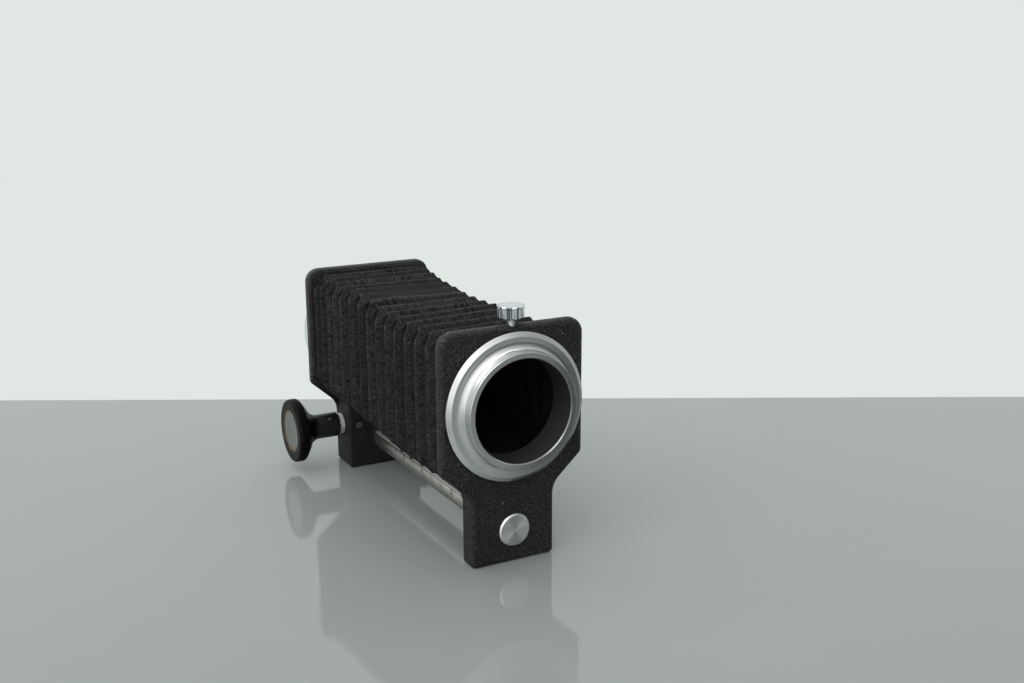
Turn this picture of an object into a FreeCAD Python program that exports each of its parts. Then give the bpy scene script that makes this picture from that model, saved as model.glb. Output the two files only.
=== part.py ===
"""Macro bellows unit on a single round rail.

A fixed front standard holds the rail and the front mount ring.  A rear
standard with a rear mount ring slides on the rail, driven by a rack let into
the flat top of the rail and a pinion turned by a side knob.  A pleated cloth
bellows joins the two standards.

Frame, millimetres: X to the right seen from the front, Y rearward along the
optical axis, Z up, with the ground at Z = 0 and the optical axis above the
origin.  Y is measured here from the front standard's front face; every piece
is moved forward by FOOT_Y when written, which puts the origin in the front
standard's foot.  Cutters overrun the faces they open.
"""
import FreeCAD, Part
import math
import os

Vector = FreeCAD.Vector
os.makedirs("parts", exist_ok=True)

# ---------------------------------------------------------------- dimensions
PLATE_W = 62.0            # width of both standards across the mount plate
COL_W = 36.0              # width of the lower column and block
X_SIDE = COL_W / 2.0      # side faces of the column and block
HEIGHT = 95.5             # foot to top edge
Z_HIP = 40.4              # where the side chamfer meets the plate
Z_WAIST = 28.7            # where the side chamfer meets the column
R_TOP = 6.3               # plate top corner radius
R_HIP = 3.0               # radius where the plate side turns into the chamfer
R_WAIST = 9.0             # hollow radius where the chamfer turns into the column
R_FOOT = 1.3              # foot corner radius
COL_TOP = 33.5            # top of the deep part of the column and block

FOOT_Y = 5.0              # origin behind the front face
FRONT_PLATE_T = 4.0       # front plate thickness
FRONT_COL_D = 9.2         # front column depth
BLOCK_Y0 = 130.0          # front face of the rear block, bellows drawn out
REAR_Y = 149.0            # rear face of the rear standard
REAR_PLATE_T = 4.3        # rear plate thickness
REAR_PLATE_Y = REAR_Y - REAR_PLATE_T

AXIS_Z = 63.8             # optical axis height
BORE_R = 20.5             # clear bore of the front mount ring
REAR_BORE_R = BORE_R + 0.5

RAIL_Z = 13.2             # rail axis height
RAIL_R = 5.95             # rail radius
RAIL_FIT_R = 5.97         # bore of the front standard and stop collar on the rail
RAIL_Y0 = 1.0             # rail front end
RAIL_Y1 = 158.0           # rail rear end

# Small slotted screws: frames, rack and rear mount ring
SMALL_R = 0.8             # shank
SMALL_TAP_R = 0.82        # tapped hole
SMALL_CLEAR_R = 0.85      # clearance hole

FRAME_T = 1.0             # bellows frame thickness
FRAME_SCREW_OFFSET = 22.0
FRAME_SCREWS_XZ = [(side * FRAME_SCREW_OFFSET, AXIS_Z + level * FRAME_SCREW_OFFSET)
                   for side in (-1, 1) for level in (-1, 1)]


# ---------------------------------------------------------------- helpers
def box(x0, x1, y0, y1, z0, z1):
    return Part.makeBox(x1 - x0, y1 - y0, z1 - z0, Vector(x0, y0, z0))


def cyl_x(radius, x0, x1, y, z):
    return Part.makeCylinder(radius, x1 - x0, Vector(x0, y, z), Vector(1, 0, 0))


def cyl_y(radius, y0, y1, x, z):
    return Part.makeCylinder(radius, y1 - y0, Vector(x, y0, z), Vector(0, 1, 0))


def cyl_z(radius, z0, z1, x, y):
    return Part.makeCylinder(radius, z1 - z0, Vector(x, y, z0), Vector(0, 0, 1))


def circle_points(count, radius, centre_u, centre_v):
    """Points spaced evenly on a circle, as (u, v) pairs."""
    angles = [2 * math.pi * k / count for k in range(count)]
    return [(centre_u + radius * math.cos(angle), centre_v + radius * math.sin(angle))
            for angle in angles]


def polygon_face(points):
    return Part.Face(Part.makePolygon(points + [points[0]]))


def rounded_slab(corners, y0, y1):
    """Slab from y0 to y1 whose outline is [(x, z, corner radius), ...]."""
    arcs = []
    count = len(corners)
    for i, (x, z, radius) in enumerate(corners):
        x_after, z_after, _ = corners[(i + 1) % count]
        corner = Vector(x, y0, z)
        to_before = (Vector(corners[i - 1][0], y0, corners[i - 1][1]) - corner).normalize()
        to_after = (Vector(x_after, y0, z_after) - corner).normalize()
        half_angle = to_before.getAngle(to_after) / 2.0
        reach = radius / math.tan(half_angle)
        bisector = (to_before + to_after).normalize()
        centre = corner + bisector * (radius / math.sin(half_angle))
        arcs.append((corner + to_before * reach, centre - bisector * radius,
                     corner + to_after * reach))
    edges = []
    for i, (start, middle, end) in enumerate(arcs):
        edges.append(Part.Arc(start, middle, end).toShape())
        edges.append(Part.LineSegment(end, arcs[(i + 1) % count][0]).toShape())
    return Part.Face(Part.Wire(edges)).extrude(Vector(0, y1 - y0, 0))


def turned(profile, origin, axis, radial):
    """Solid of revolution.  Profile points are (along, radius), or
    (along, radius, mid along, mid radius) for an arc from the previous point."""
    def place(along, radius):
        return origin + axis * along + radial * radius

    edges = []
    for i, point in enumerate(profile):
        following = profile[(i + 1) % len(profile)]
        start = place(*point[:2])
        end = place(*following[:2])
        if len(following) > 2:
            edges.append(Part.Arc(start, place(*following[2:]), end).toShape())
        else:
            edges.append(Part.LineSegment(start, end).toShape())
    solid = Part.Face(Part.Wire(edges)).revolve(origin, axis, 360)
    if solid.Volume < 0:
        solid.reverse()
    return solid


def turned_x(profile, y, z):
    return turned(profile, Vector(0, y, z), Vector(1, 0, 0), Vector(0, 0, 1))


def turned_y(profile, x, z):
    return turned(profile, Vector(x, 0, z), Vector(0, 1, 0), Vector(1, 0, 0))


def turned_z(profile, x, y):
    return turned(profile, Vector(x, y, 0), Vector(0, 0, 1), Vector(1, 0, 0))


def countersunk_profile(tip, neck, top, head_radius):
    return [(tip, 0.0), (tip, SMALL_R), (neck, SMALL_R), (top, head_radius), (top, 0.0)]


def one(shape):
    """The single solid of a boolean result."""
    solids = shape.removeSplitter().Solids
    assert len(solids) == 1, len(solids)
    return solids[0]


def rim_edges(shape, y, keep):
    """Edges lying in the plane Y = y whose points all pass keep(x, z)."""
    found = []
    for edge in shape.Edges:
        if edge.Length < 1e-6:
            continue
        points = edge.discretize(5)
        if all(abs(p.y - y) < 1e-5 and keep(p.x, p.z) for p in points):
            found.append(edge)
    return found


def standard_slab(y0, y1):
    """Slab with the outline shared by both standards."""
    half_plate = PLATE_W / 2.0
    return rounded_slab([
        (-X_SIDE, 0.0, R_FOOT), (X_SIDE, 0.0, R_FOOT),
        (X_SIDE, Z_WAIST, R_WAIST), (half_plate, Z_HIP, R_HIP),
        (half_plate, HEIGHT, R_TOP), (-half_plate, HEIGHT, R_TOP),
        (-half_plate, Z_HIP, R_HIP), (-X_SIDE, Z_WAIST, R_WAIST),
    ], y0, y1)


def save(name, shape):
    assert shape.Solids, name
    for solid in shape.Solids:
        assert solid.isValid() and solid.Volume > 0, name
    shape.translate(Vector(0, -FOOT_Y, 0))
    shape.exportStep("parts/%s.step" % name)


# ---------------------------------------------------------------- front standard
SPIGOT_BORE_R = 25.0
CAP_SEAT_R = 6.8
RING_SCREW_Y = FRONT_PLATE_T / 2.0
RAIL_SET_Y = 5.2          # screw that clamps the rail from the right


def front_standard():
    front = standard_slab(0.0, FRONT_PLATE_T)
    column = standard_slab(0.0, FRONT_COL_D).common(
        box(-40, 40, -1, FRONT_COL_D + 1, -1, COL_TOP))
    front = one(front.fuse(column))
    front = front.makeFillet(1.7, rim_edges(front, 0.0, lambda x, z: True))
    front = front.makeFillet(
        0.9, rim_edges(front, FRONT_COL_D, lambda x, z: z < COL_TOP - 0.01))
    front = front.makeFillet(
        0.9, rim_edges(front, FRONT_PLATE_T, lambda x, z: z > COL_TOP + 1.0))
    behind = FRONT_COL_D + 1
    front = front.cut(cyl_y(SPIGOT_BORE_R, -1, behind, 0, AXIS_Z))
    front = front.cut(cyl_y(RAIL_FIT_R, -1, behind, 0, RAIL_Z))
    front = front.cut(cyl_y(CAP_SEAT_R, -1, RAIL_Y0, 0, RAIL_Z))
    front = front.cut(cyl_z(1.55, 84.0, 100.0, 0, RING_SCREW_Y))
    front = front.cut(cyl_x(1.51, 4.0, X_SIDE + 1, RAIL_SET_Y, RAIL_Z))
    for x, z in FRAME_SCREWS_XZ:
        front = front.cut(cyl_y(SMALL_TAP_R, 1.4, behind, x, z))
    return one(front)


# ---------------------------------------------------------------- front mount ring
RING_R = 29.5             # outside radius
TUBE_R = 22.95            # outside radius of the tube
TUBE_Y = -8.7             # front end of the tube
FLANGE_FACE_Y = -3.15     # flat front face of the flange
COVE_R = 2.9              # cove between flange and tube
COVE_MID = 0.2929 * COVE_R    # arc midpoint from either tangent line
SPIGOT_R = 24.95          # spigot in the front standard's bore
RETAINER_BORE_R = 23.2
RETAINER_Y0 = FRONT_PLATE_T + 0.15
RETAINER_Y1 = FRONT_PLATE_T + 1.0


def front_mount_ring():
    return turned_y([
        (FLANGE_FACE_Y + 1.3, RING_R),                          # outer wall
        (FLANGE_FACE_Y, RING_R - 1.75),                         # bevel
        (FLANGE_FACE_Y, TUBE_R + COVE_R),
        (FLANGE_FACE_Y - COVE_R, TUBE_R, FLANGE_FACE_Y - COVE_MID, TUBE_R + COVE_MID),
        (TUBE_Y + 0.2, TUBE_R),
        (TUBE_Y, TUBE_R - 0.2),
        (TUBE_Y, BORE_R + 0.38),
        (TUBE_Y + 0.38, BORE_R),
        (RETAINER_Y1, BORE_R),
        (RETAINER_Y1, RETAINER_BORE_R),
        (RETAINER_Y0, RETAINER_BORE_R),                         # seat of the retainer
        (RETAINER_Y0, SPIGOT_R),
        (RING_SCREW_Y + 0.9, SPIGOT_R),
        (RING_SCREW_Y, SPIGOT_R - 1.0),                         # vee groove for the screw
        (RING_SCREW_Y - 0.9, SPIGOT_R),
        (-0.12, SPIGOT_R),
        (-0.12, RING_R - 0.3),
        (-0.42, RING_R),
    ], 0, AXIS_Z)


def front_ring_retainer():
    retainer = turned_y([
        (RETAINER_Y0, RETAINER_BORE_R), (RETAINER_Y1, RETAINER_BORE_R),
        (RETAINER_Y1, 25.7), (RETAINER_Y1 - 0.2, 25.9), (RETAINER_Y0, 25.9)], 0, AXIS_Z)
    for turn in (0.0, 180.0):                                   # spanner notches
        notch = box(-1.0, 1.0, 4.5, 7.0, 23.8, 27.0)
        notch.rotate(Vector(0, 0, 0), Vector(0, 1, 0), turn)
        notch.translate(Vector(0, 0, AXIS_Z))
        retainer = retainer.cut(notch)
    return one(retainer)


# Thumb screw heads: fluted barrel under a plain rim
FLUTES = 18
FLUTE_R = 0.55
RING_HEAD_Z0 = 98.1
RING_HEAD_Z1 = 102.9


def ring_thumb_screw():
    """Screw through the top edge that locks the front mount ring."""
    screw = turned_z([
        (88.3, 0.0), (88.3, 0.35), (89.05, 1.1), (89.45, 1.5), (96.9, 1.5), (97.3, 1.75),
        (RING_HEAD_Z0, 1.75), (RING_HEAD_Z0, 4.5), (RING_HEAD_Z0 + 0.5, 5.1),
        (RING_HEAD_Z1 - 1.0, 5.1), (RING_HEAD_Z1 - 0.75, 5.45), (RING_HEAD_Z1 - 0.2, 5.45),
        (RING_HEAD_Z1, 5.2), (RING_HEAD_Z1, 0.0)], 0, RING_SCREW_Y)
    for x, y in circle_points(FLUTES, 5.32, 0, RING_SCREW_Y):
        screw = screw.cut(cyl_z(FLUTE_R, RING_HEAD_Z0 - 1, RING_HEAD_Z1 - 0.95, x, y))
    return one(screw)


# ---------------------------------------------------------------- rail
FLAT_Z = 16.2             # height of the flat milled on the rail's top
FLAT_Y0 = 14.0            # flat starts here
RACK_W = 4.0
RACK_Y0 = 24.0
RACK_Y1 = 157.5
RACK_BOTTOM_Z = 13.4
RACK_SLOT_GAP = 0.02      # around the rack
RACK_SCREWS_Y = (28.0, 153.6)
CAP_STEM_R = 2.5
CAP_R = 6.7
STOP_SCREW_Y = 153.6


def rail_rod():
    rail = cyl_y(RAIL_R, RAIL_Y0, RAIL_Y1, 0, RAIL_Z)
    rail = rail.makeChamfer(0.6, [edge for edge in rail.Edges
                                  if abs(edge.BoundBox.YMin - RAIL_Y1) < 1e-6
                                  and abs(edge.BoundBox.YMax - RAIL_Y1) < 1e-6])
    rail = rail.cut(box(-8, 8, FLAT_Y0, RAIL_Y1 + 1, FLAT_Z, 30))
    half_slot = RACK_W / 2.0 + RACK_SLOT_GAP
    rail = rail.cut(box(-half_slot, half_slot, RACK_Y0 - RACK_SLOT_GAP,
                        RACK_Y1 + RACK_SLOT_GAP, RACK_BOTTOM_Z, 30))
    rail = rail.cut(cyl_y(CAP_STEM_R + 0.01, 0, 9.2, 0, RAIL_Z))
    for y in RACK_SCREWS_Y:
        rail = rail.cut(cyl_z(SMALL_TAP_R, 10.2, 20, 0, y))
    return one(rail)


def rail_cap():
    """Cap screwed into the rail's front end."""
    return turned_y([
        (-1.05, 0.0), (-1.05, CAP_R - 0.55), (-0.5, CAP_R), (RAIL_Y0, CAP_R),
        (RAIL_Y0, CAP_STEM_R), (8.4, CAP_STEM_R), (8.9, CAP_STEM_R - 0.5), (8.9, 0.0)],
        0, RAIL_Z)


def rail_set_screw():
    screw = cyl_x(1.5, RAIL_R + 0.01, X_SIDE - 0.7, RAIL_SET_Y, RAIL_Z)
    hexagon = [Vector(X_SIDE - 2.6, y, z)
               for y, z in circle_points(6, 0.85, RAIL_SET_Y, RAIL_Z)]
    return one(screw.cut(polygon_face(hexagon).extrude(Vector(3, 0, 0))))


def rail_stop_collar():
    """Collar on the rail's rear end that stops the carriage."""
    collar = turned_y([
        (149.3, RAIL_FIT_R), (149.3, 7.6), (149.7, 8.0), (157.1, 8.0), (157.5, 7.6),
        (157.5, RAIL_FIT_R)], 0, RAIL_Z)
    return one(collar.cut(cyl_z(1.27, 2.0, 8.0, 0, STOP_SCREW_Y)))


def stop_set_screw():
    """Slotted screw under the stop collar."""
    screw = cyl_z(1.25, 5.35, RAIL_Z - RAIL_R - 0.01, 0, STOP_SCREW_Y)
    return one(screw.cut(box(-2, 2, STOP_SCREW_Y - 0.2, STOP_SCREW_Y + 0.2, 5.0, 5.9)))


# ---------------------------------------------------------------- rack
MODULE = 0.6              # rack and pinion module
TEETH = 12                # pinion teeth
PRESSURE = math.radians(20.0)
PITCH = math.pi * MODULE
PITCH_R = MODULE * TEETH / 2.0
PINION_Y = 142.0
PINION_Z = 19.4
PINION_ADD = 0.50         # stub addendum of the pinion
RACK_ADD = 0.40           # stub addendum of the rack, clear of undercut
TIP_GAP = 0.15
TOOTH_THIN = 0.035        # taken off each tooth flank for backlash
RACK_PITCH_Z = PINION_Z - PITCH_R
RACK_TIP_Z = RACK_PITCH_Z + RACK_ADD
RACK_ROOT_Z = RACK_PITCH_Z - PINION_ADD - TIP_GAP
TEETH_Y0 = 37.0           # the rack's tooth centres lie between these two
TEETH_Y1 = 147.6


def rack_half_tooth(rise):
    """Half thickness of a rack tooth at a height above the pitch line."""
    return PITCH / 4.0 - TOOTH_THIN - rise * math.tan(PRESSURE)


def rack():
    # A space is centred under the pinion, so teeth sit half a pitch away.
    first = math.ceil((TEETH_Y0 - PINION_Y) / PITCH - 0.5)
    last = math.floor((TEETH_Y1 - PINION_Y) / PITCH - 0.5)
    centres = [PINION_Y + (k + 0.5) * PITCH for k in range(first, last + 1)]
    half_root = rack_half_tooth(RACK_ROOT_Z - RACK_PITCH_Z)
    half_tip = rack_half_tooth(RACK_ADD)
    front_space = centres[0] - PITCH / 2.0
    rear_space = centres[-1] + PITCH / 2.0
    outline = [(RACK_Y0, RACK_BOTTOM_Z), (RACK_Y0, RACK_TIP_Z),
               (front_space - 0.8, RACK_TIP_Z), (front_space - 0.4, RACK_ROOT_Z)]
    for y in centres:
        outline += [(y - half_root, RACK_ROOT_Z), (y - half_tip, RACK_TIP_Z),
                    (y + half_tip, RACK_TIP_Z), (y + half_root, RACK_ROOT_Z)]
    outline += [(rear_space + 0.4, RACK_ROOT_Z), (rear_space + 0.8, RACK_TIP_Z),
                (RACK_Y1, RACK_TIP_Z), (RACK_Y1, RACK_BOTTOM_Z)]
    face = polygon_face([Vector(-RACK_W / 2.0, y, z) for y, z in outline])
    bar = face.extrude(Vector(RACK_W, 0, 0))
    for y in RACK_SCREWS_Y:
        bar = bar.cut(cyl_z(SMALL_CLEAR_R, 10, 20, 0, y))
        bar = bar.cut(Part.makeCone(SMALL_CLEAR_R, 1.7, 0.85, Vector(0, y, RACK_TIP_Z - 0.85)))
    return one(bar)


def rack_screws():
    screws = []
    for y in RACK_SCREWS_Y:
        screw = turned_z(countersunk_profile(
            11.0, RACK_TIP_Z - 0.9, RACK_TIP_Z - 0.07, 1.62), 0, y)
        slot = box(-2, 2, y - 0.18, y + 0.18, RACK_TIP_Z - 0.45, RACK_TIP_Z + 1)
        screws.append(one(screw.cut(slot)))
    return Part.makeCompound(screws)


# ---------------------------------------------------------------- bellows frames
FRAME_HALF = 27.3         # half width and half height
FRAME_CORNER = 5.4        # leg of the cut corners
FRAME_EDGE_R = 1.0


def frame_plate(y0, hole_radius):
    """Square plate with cut corners, a round hole and four screw holes."""
    y1 = y0 + FRAME_T
    flat = FRAME_HALF - FRAME_CORNER
    corners = [(-flat, -FRAME_HALF), (flat, -FRAME_HALF), (FRAME_HALF, -flat),
               (FRAME_HALF, flat), (flat, FRAME_HALF), (-flat, FRAME_HALF),
               (-FRAME_HALF, flat), (-FRAME_HALF, -flat)]
    frame = rounded_slab([(x, AXIS_Z + rise, FRAME_EDGE_R) for x, rise in corners], y0, y1)
    frame = frame.cut(cyl_y(hole_radius, y0 - 1, y1 + 1, 0, AXIS_Z))
    for x, z in FRAME_SCREWS_XZ:
        frame = frame.cut(cyl_y(SMALL_CLEAR_R, y0 - 1, y1 + 1, x, z))
    return one(frame)


def front_bellows_frame():
    return frame_plate(FRONT_PLATE_T, 26.1)


def rear_bellows_frame():
    return frame_plate(REAR_PLATE_Y - FRAME_T, 24.6)


def frame_screws(seat, sign):
    """Four screws whose heads rise from Y = seat towards sign."""
    screws = []
    for x, z in FRAME_SCREWS_XZ:
        screw = turned_y([
            (seat - sign * 3.4, 0.0), (seat - sign * 3.4, SMALL_R), (seat, SMALL_R),
            (seat, 1.6), (seat + sign * 0.35, 1.6), (seat + sign * 0.6, 1.1),
            (seat + sign * 0.6, 0.0)], x, z)
        slot_y0, slot_y1 = sorted((seat + sign * 0.3, seat + sign * 1.0))
        screw = screw.cut(box(x - 2, x + 2, slot_y0, slot_y1, z - 0.16, z + 0.16))
        screws.append(one(screw))
    return Part.makeCompound(screws)


def front_frame_screws():
    return frame_screws(FRONT_PLATE_T + FRAME_T, 1)


def rear_frame_screws():
    return frame_screws(REAR_PLATE_Y - FRAME_T, -1)


# ---------------------------------------------------------------- rear standard
SLEEVE_R = 7.0            # outside radius of the rail sleeve
NUT_R = 4.4               # thread radius of the pinion bearing nut
BEARING_SET_X = -13.3     # set screw in the block's front face
BEARING_SET_Z = 21.0
LOCK_Y = 134.4            # carriage lock
LOCK_HOLE_R = 2.05
TRIPOD_Y = 139.5
REAR_SCREWS_XZ = circle_points(4, 26.6, 0, AXIS_Z)


def rear_standard():
    rear = standard_slab(REAR_PLATE_Y, REAR_Y)
    rear = rear.makeFillet(1.5, rim_edges(rear, REAR_Y, lambda x, z: True))
    rear = rear.makeFillet(
        0.9, rim_edges(rear, REAR_PLATE_Y, lambda x, z: abs(x) > X_SIDE + 6 or z > 90))
    block = rounded_slab([(-X_SIDE, 0.0, R_FOOT), (X_SIDE, 0.0, R_FOOT),
                          (X_SIDE, COL_TOP, 1.2), (-X_SIDE, COL_TOP, 1.2)],
                         BLOCK_Y0, REAR_PLATE_Y + 1.0)
    block = block.makeFillet(1.0, rim_edges(block, BLOCK_Y0, lambda x, z: True))
    rear = one(rear.fuse(block))
    cutters = [
        cyl_y(24.2, REAR_PLATE_Y - 1, REAR_Y + 1, 0, AXIS_Z),            # light path
        cyl_y(SLEEVE_R, BLOCK_Y0 - 1, REAR_Y + 1, 0, RAIL_Z),            # rail sleeve
        cyl_x(NUT_R + 0.02, -X_SIDE - 1, 2.8, PINION_Y, PINION_Z),       # pinion and nut
        cyl_x(3.2, 2.0, 15.2, PINION_Y, PINION_Z),                       # end bush
        cyl_y(1.26, BLOCK_Y0 - 1, 138.2, BEARING_SET_X, BEARING_SET_Z),
        cyl_x(LOCK_HOLE_R, 5.0, X_SIDE + 1, LOCK_Y, RAIL_Z),
        cyl_z(4.75, -1, 5.3, 0, TRIPOD_Y),
    ]
    cutters += [cyl_y(SMALL_TAP_R, REAR_PLATE_Y - 1.0, REAR_PLATE_Y + 2.6, x, z)
                for x, z in FRAME_SCREWS_XZ]
    cutters += [cyl_y(SMALL_TAP_R, REAR_Y - 3.2, REAR_Y + 1, x, z) for x, z in REAR_SCREWS_XZ]
    for cutter in cutters:
        rear = rear.cut(cutter)
    return one(rear)


# ---------------------------------------------------------------- rear mount ring
REAR_RING_R = 30.5
REAR_RING_Y = REAR_Y + 5.6    # rear face of the ring
REAR_SPIGOT_R = 24.15


def rear_mount_ring():
    ring = turned_y([
        (REAR_Y + 0.3, REAR_RING_R), (REAR_RING_Y - 1.1, REAR_RING_R),
        (REAR_RING_Y, REAR_RING_R - 1.1), (REAR_RING_Y, 24.4),
        (REAR_RING_Y + 0.8, 23.6), (REAR_RING_Y + 0.8, REAR_BORE_R + 0.5),
        (REAR_RING_Y + 0.3, REAR_BORE_R), (REAR_Y - 3.6, REAR_BORE_R),
        (REAR_Y - 3.6, REAR_SPIGOT_R), (REAR_Y, REAR_SPIGOT_R),
        (REAR_Y, REAR_RING_R - 0.3)], 0, AXIS_Z)
    for x, z in REAR_SCREWS_XZ:
        ring = ring.cut(cyl_y(SMALL_CLEAR_R, REAR_Y - 1, REAR_Y + 6, x, z))
        ring = ring.cut(Part.makeCone(SMALL_CLEAR_R, 1.75, 0.9,
                                      Vector(x, REAR_RING_Y - 0.9, z), Vector(0, 1, 0)))
    return one(ring)


def rear_ring_screws():
    screws = []
    for x, z in REAR_SCREWS_XZ:
        screw = turned_y(countersunk_profile(
            REAR_Y - 2.9, REAR_RING_Y - 0.95, REAR_RING_Y - 0.1, 1.63), x, z)
        slot = box(x - 2, x + 2, REAR_RING_Y - 0.5, REAR_RING_Y + 1, z - 0.18, z + 0.18)
        screws.append(one(screw.cut(slot)))
    return Part.makeCompound(screws)


# ---------------------------------------------------------------- carriage bearings
SLEEVE_BORE_R = 6.0
SLEEVE_Y0 = BLOCK_Y0 + 0.3
SLEEVE_Y1 = REAR_Y - 0.3
SHAFT_R = 2.2             # pinion shaft
SHAFT_BORE_R = SHAFT_R + 0.05


def rail_sleeve():
    sleeve = turned_y([
        (SLEEVE_Y0, SLEEVE_BORE_R + 0.3), (SLEEVE_Y0 + 0.3, SLEEVE_BORE_R),
        (SLEEVE_Y1 - 0.3, SLEEVE_BORE_R), (SLEEVE_Y1, SLEEVE_BORE_R + 0.3),
        (SLEEVE_Y1, SLEEVE_R - 0.01), (SLEEVE_Y0, SLEEVE_R - 0.01)], 0, RAIL_Z)
    sleeve = sleeve.cut(cyl_x(NUT_R + 0.1, -9, 9, PINION_Y, PINION_Z))
    return one(sleeve.cut(cyl_x(LOCK_HOLE_R, 2, 9, LOCK_Y, RAIL_Z)))


def pinion_bearing_nut():
    """Nut whose shoulder bears on the block's left side face."""
    outer_x = -X_SIDE - 2.0
    nut = turned_x([
        (outer_x, SHAFT_R + 0.30), (outer_x + 0.25, SHAFT_BORE_R), (-9.0, SHAFT_BORE_R),
        (-9.0, NUT_R), (-X_SIDE, NUT_R), (-X_SIDE, 5.1), (outer_x + 0.3, 5.1),
        (outer_x, 4.8)], PINION_Y, PINION_Z)
    for k in range(4):                                          # spanner slots
        slot = box(outer_x - 0.5, outer_x + 1.4, -0.55, 0.55, 4.05, 6.0)
        slot.rotate(Vector(0, 0, 0), Vector(1, 0, 0), 90.0 * k + 30.0)
        slot.translate(Vector(0, PINION_Y, PINION_Z))
        nut = nut.cut(slot)
    return one(nut)


def pinion_end_bush():
    return turned_x([(8.4, SHAFT_BORE_R), (14.8, SHAFT_BORE_R), (14.8, 3.19), (8.4, 3.19)],
                    PINION_Y, PINION_Z)


def bearing_set_screw():
    screw = cyl_y(1.25, BLOCK_Y0 + 0.25, 137.5, BEARING_SET_X, BEARING_SET_Z)
    hexagon = [Vector(x, BLOCK_Y0, z)
               for x, z in circle_points(6, 0.72, BEARING_SET_X, BEARING_SET_Z)]
    return one(screw.cut(polygon_face(hexagon).extrude(Vector(0, 1.9, 0))))


def tripod_bush():
    bore = 3.175
    return turned_z([(0.15, bore + 0.3), (0.45, bore), (5.29, bore), (5.29, 4.74),
                     (0.35, 4.74), (0.15, 4.54)], 0, TRIPOD_Y)


def lock_thumb_screw():
    """Carriage lock on the right-hand side."""
    screw = turned_x([
        (9.6, 0.0), (9.6, 1.6), (10.0, 2.0), (18.6, 2.0), (19.0, 2.4), (20.3, 2.4),
        (20.3, 4.7), (20.8, 5.2), (25.2, 5.2), (25.45, 5.5), (26.0, 5.5),
        (26.2, 5.2), (26.2, 0.0)], LOCK_Y, RAIL_Z)
    for y, z in circle_points(FLUTES, 5.42, LOCK_Y, RAIL_Z):
        screw = screw.cut(cyl_x(FLUTE_R, 19.5, 25.25, y, z))
    return one(screw)


def lock_pad():
    """Pad between lock screw and rail, hollowed to the sleeve's bore."""
    pad = cyl_x(1.95, 5.0, 9.5, LOCK_Y, RAIL_Z)
    return one(pad.cut(cyl_y(SLEEVE_BORE_R, 120, 150, 0, RAIL_Z)))


# ---------------------------------------------------------------- pinion and knob
PINION_HALF_W = 1.85
FLANK_STEPS = 8
SHAFT_X0 = -41.0
SHAFT_X1 = 14.4
KNOB_X = -43.6            # outer face of the knob
KNOB_R = 15.0
STEM_R = 5.85
STEM_X = -20.3            # inner end of the stem
KNOB_BORE_X = SHAFT_X0 - 0.2
RIBS = 60                 # fine ribs on the rim
GRUB_X = -25.6
GRUB_TURN = 41.0          # grub screw, degrees from the top towards the front


def turn_grub(shape):
    """Swing a shape built straight above the shaft to the grub screw's angle."""
    shape.rotate(Vector(0, PINION_Y, PINION_Z), Vector(1, 0, 0), GRUB_TURN)
    return shape


def pinion_outline():
    """Involute tooth outline as (radius, angle) pairs."""
    base_radius = PITCH_R * math.cos(PRESSURE)
    tip_radius = PITCH_R + PINION_ADD
    root_radius = PITCH_R - RACK_ADD - TIP_GAP
    half_angle = (math.pi / (2 * TEETH) - TOOTH_THIN / PITCH_R      # at the base circle
                  + math.tan(PRESSURE) - PRESSURE)
    flank = []
    for k in range(FLANK_STEPS + 1):
        radius = base_radius + (tip_radius - base_radius) * k / FLANK_STEPS
        roll = math.sqrt((radius / base_radius) ** 2 - 1.0)
        flank.append((radius, roll - math.atan(roll)))
    outline = []
    for i in range(TEETH):
        middle = -math.pi / 2 + 2 * math.pi * i / TEETH     # first tooth points down
        side = [(root_radius, middle - half_angle)]
        side += [(radius, middle - half_angle + angle) for radius, angle in flank]
        outline += side
        outline += [(radius, 2 * middle - angle) for radius, angle in reversed(side)]
    return outline


def pinion_shaft():
    face = polygon_face([
        Vector(-PINION_HALF_W, PINION_Y + radius * math.cos(angle),
               PINION_Z + radius * math.sin(angle)) for radius, angle in pinion_outline()])
    gear = face.extrude(Vector(2 * PINION_HALF_W, 0, 0))
    shaft = turned_x([
        (SHAFT_X0, 0.0), (SHAFT_X0, SHAFT_R - 0.3), (SHAFT_X0 + 0.3, SHAFT_R),
        (SHAFT_X1 - 0.4, SHAFT_R), (SHAFT_X1, SHAFT_R - 0.4), (SHAFT_X1, 0.0)],
        PINION_Y, PINION_Z)
    pinion = one(gear.fuse(shaft))
    grub_flat = box(-33.0, -23.0, PINION_Y - 3, PINION_Y + 3, PINION_Z + 1.75, PINION_Z + 4)
    return one(pinion.cut(turn_grub(grub_flat)))


def focus_knob():
    knob = turned_x([
        (KNOB_X + 0.95, 0.0), (KNOB_X + 0.95, 10.15), (KNOB_X + 0.12, 10.15),
        (KNOB_X, 10.3), (KNOB_X, 13.5),
        (KNOB_X + 1.2, KNOB_R, KNOB_X + 0.33, 14.62),
        (KNOB_X + 3.5, KNOB_R),
        (KNOB_X + 4.9, 14.3, KNOB_X + 4.35, 14.84),
        (KNOB_X + 7.5, 10.5, KNOB_X + 6.15, 12.55),
        (KNOB_X + 12.6, STEM_R, KNOB_X + 9.6, 7.35),
        (STEM_X - 0.4, STEM_R), (STEM_X, STEM_R - 0.4), (STEM_X, SHAFT_R + 0.01),
        (KNOB_BORE_X, SHAFT_R + 0.01), (KNOB_BORE_X, 0.0)], PINION_Y, PINION_Z)
    knob = knob.cut(turn_grub(cyl_z(1.02, PINION_Z + 1.0, PINION_Z + 8, GRUB_X, PINION_Y)))
    for y, z in circle_points(RIBS, KNOB_R + 0.12, PINION_Y, PINION_Z):
        knob = knob.cut(cyl_x(0.28, KNOB_X + 0.7, KNOB_X + 3.4, y, z))
    return one(knob)


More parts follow.
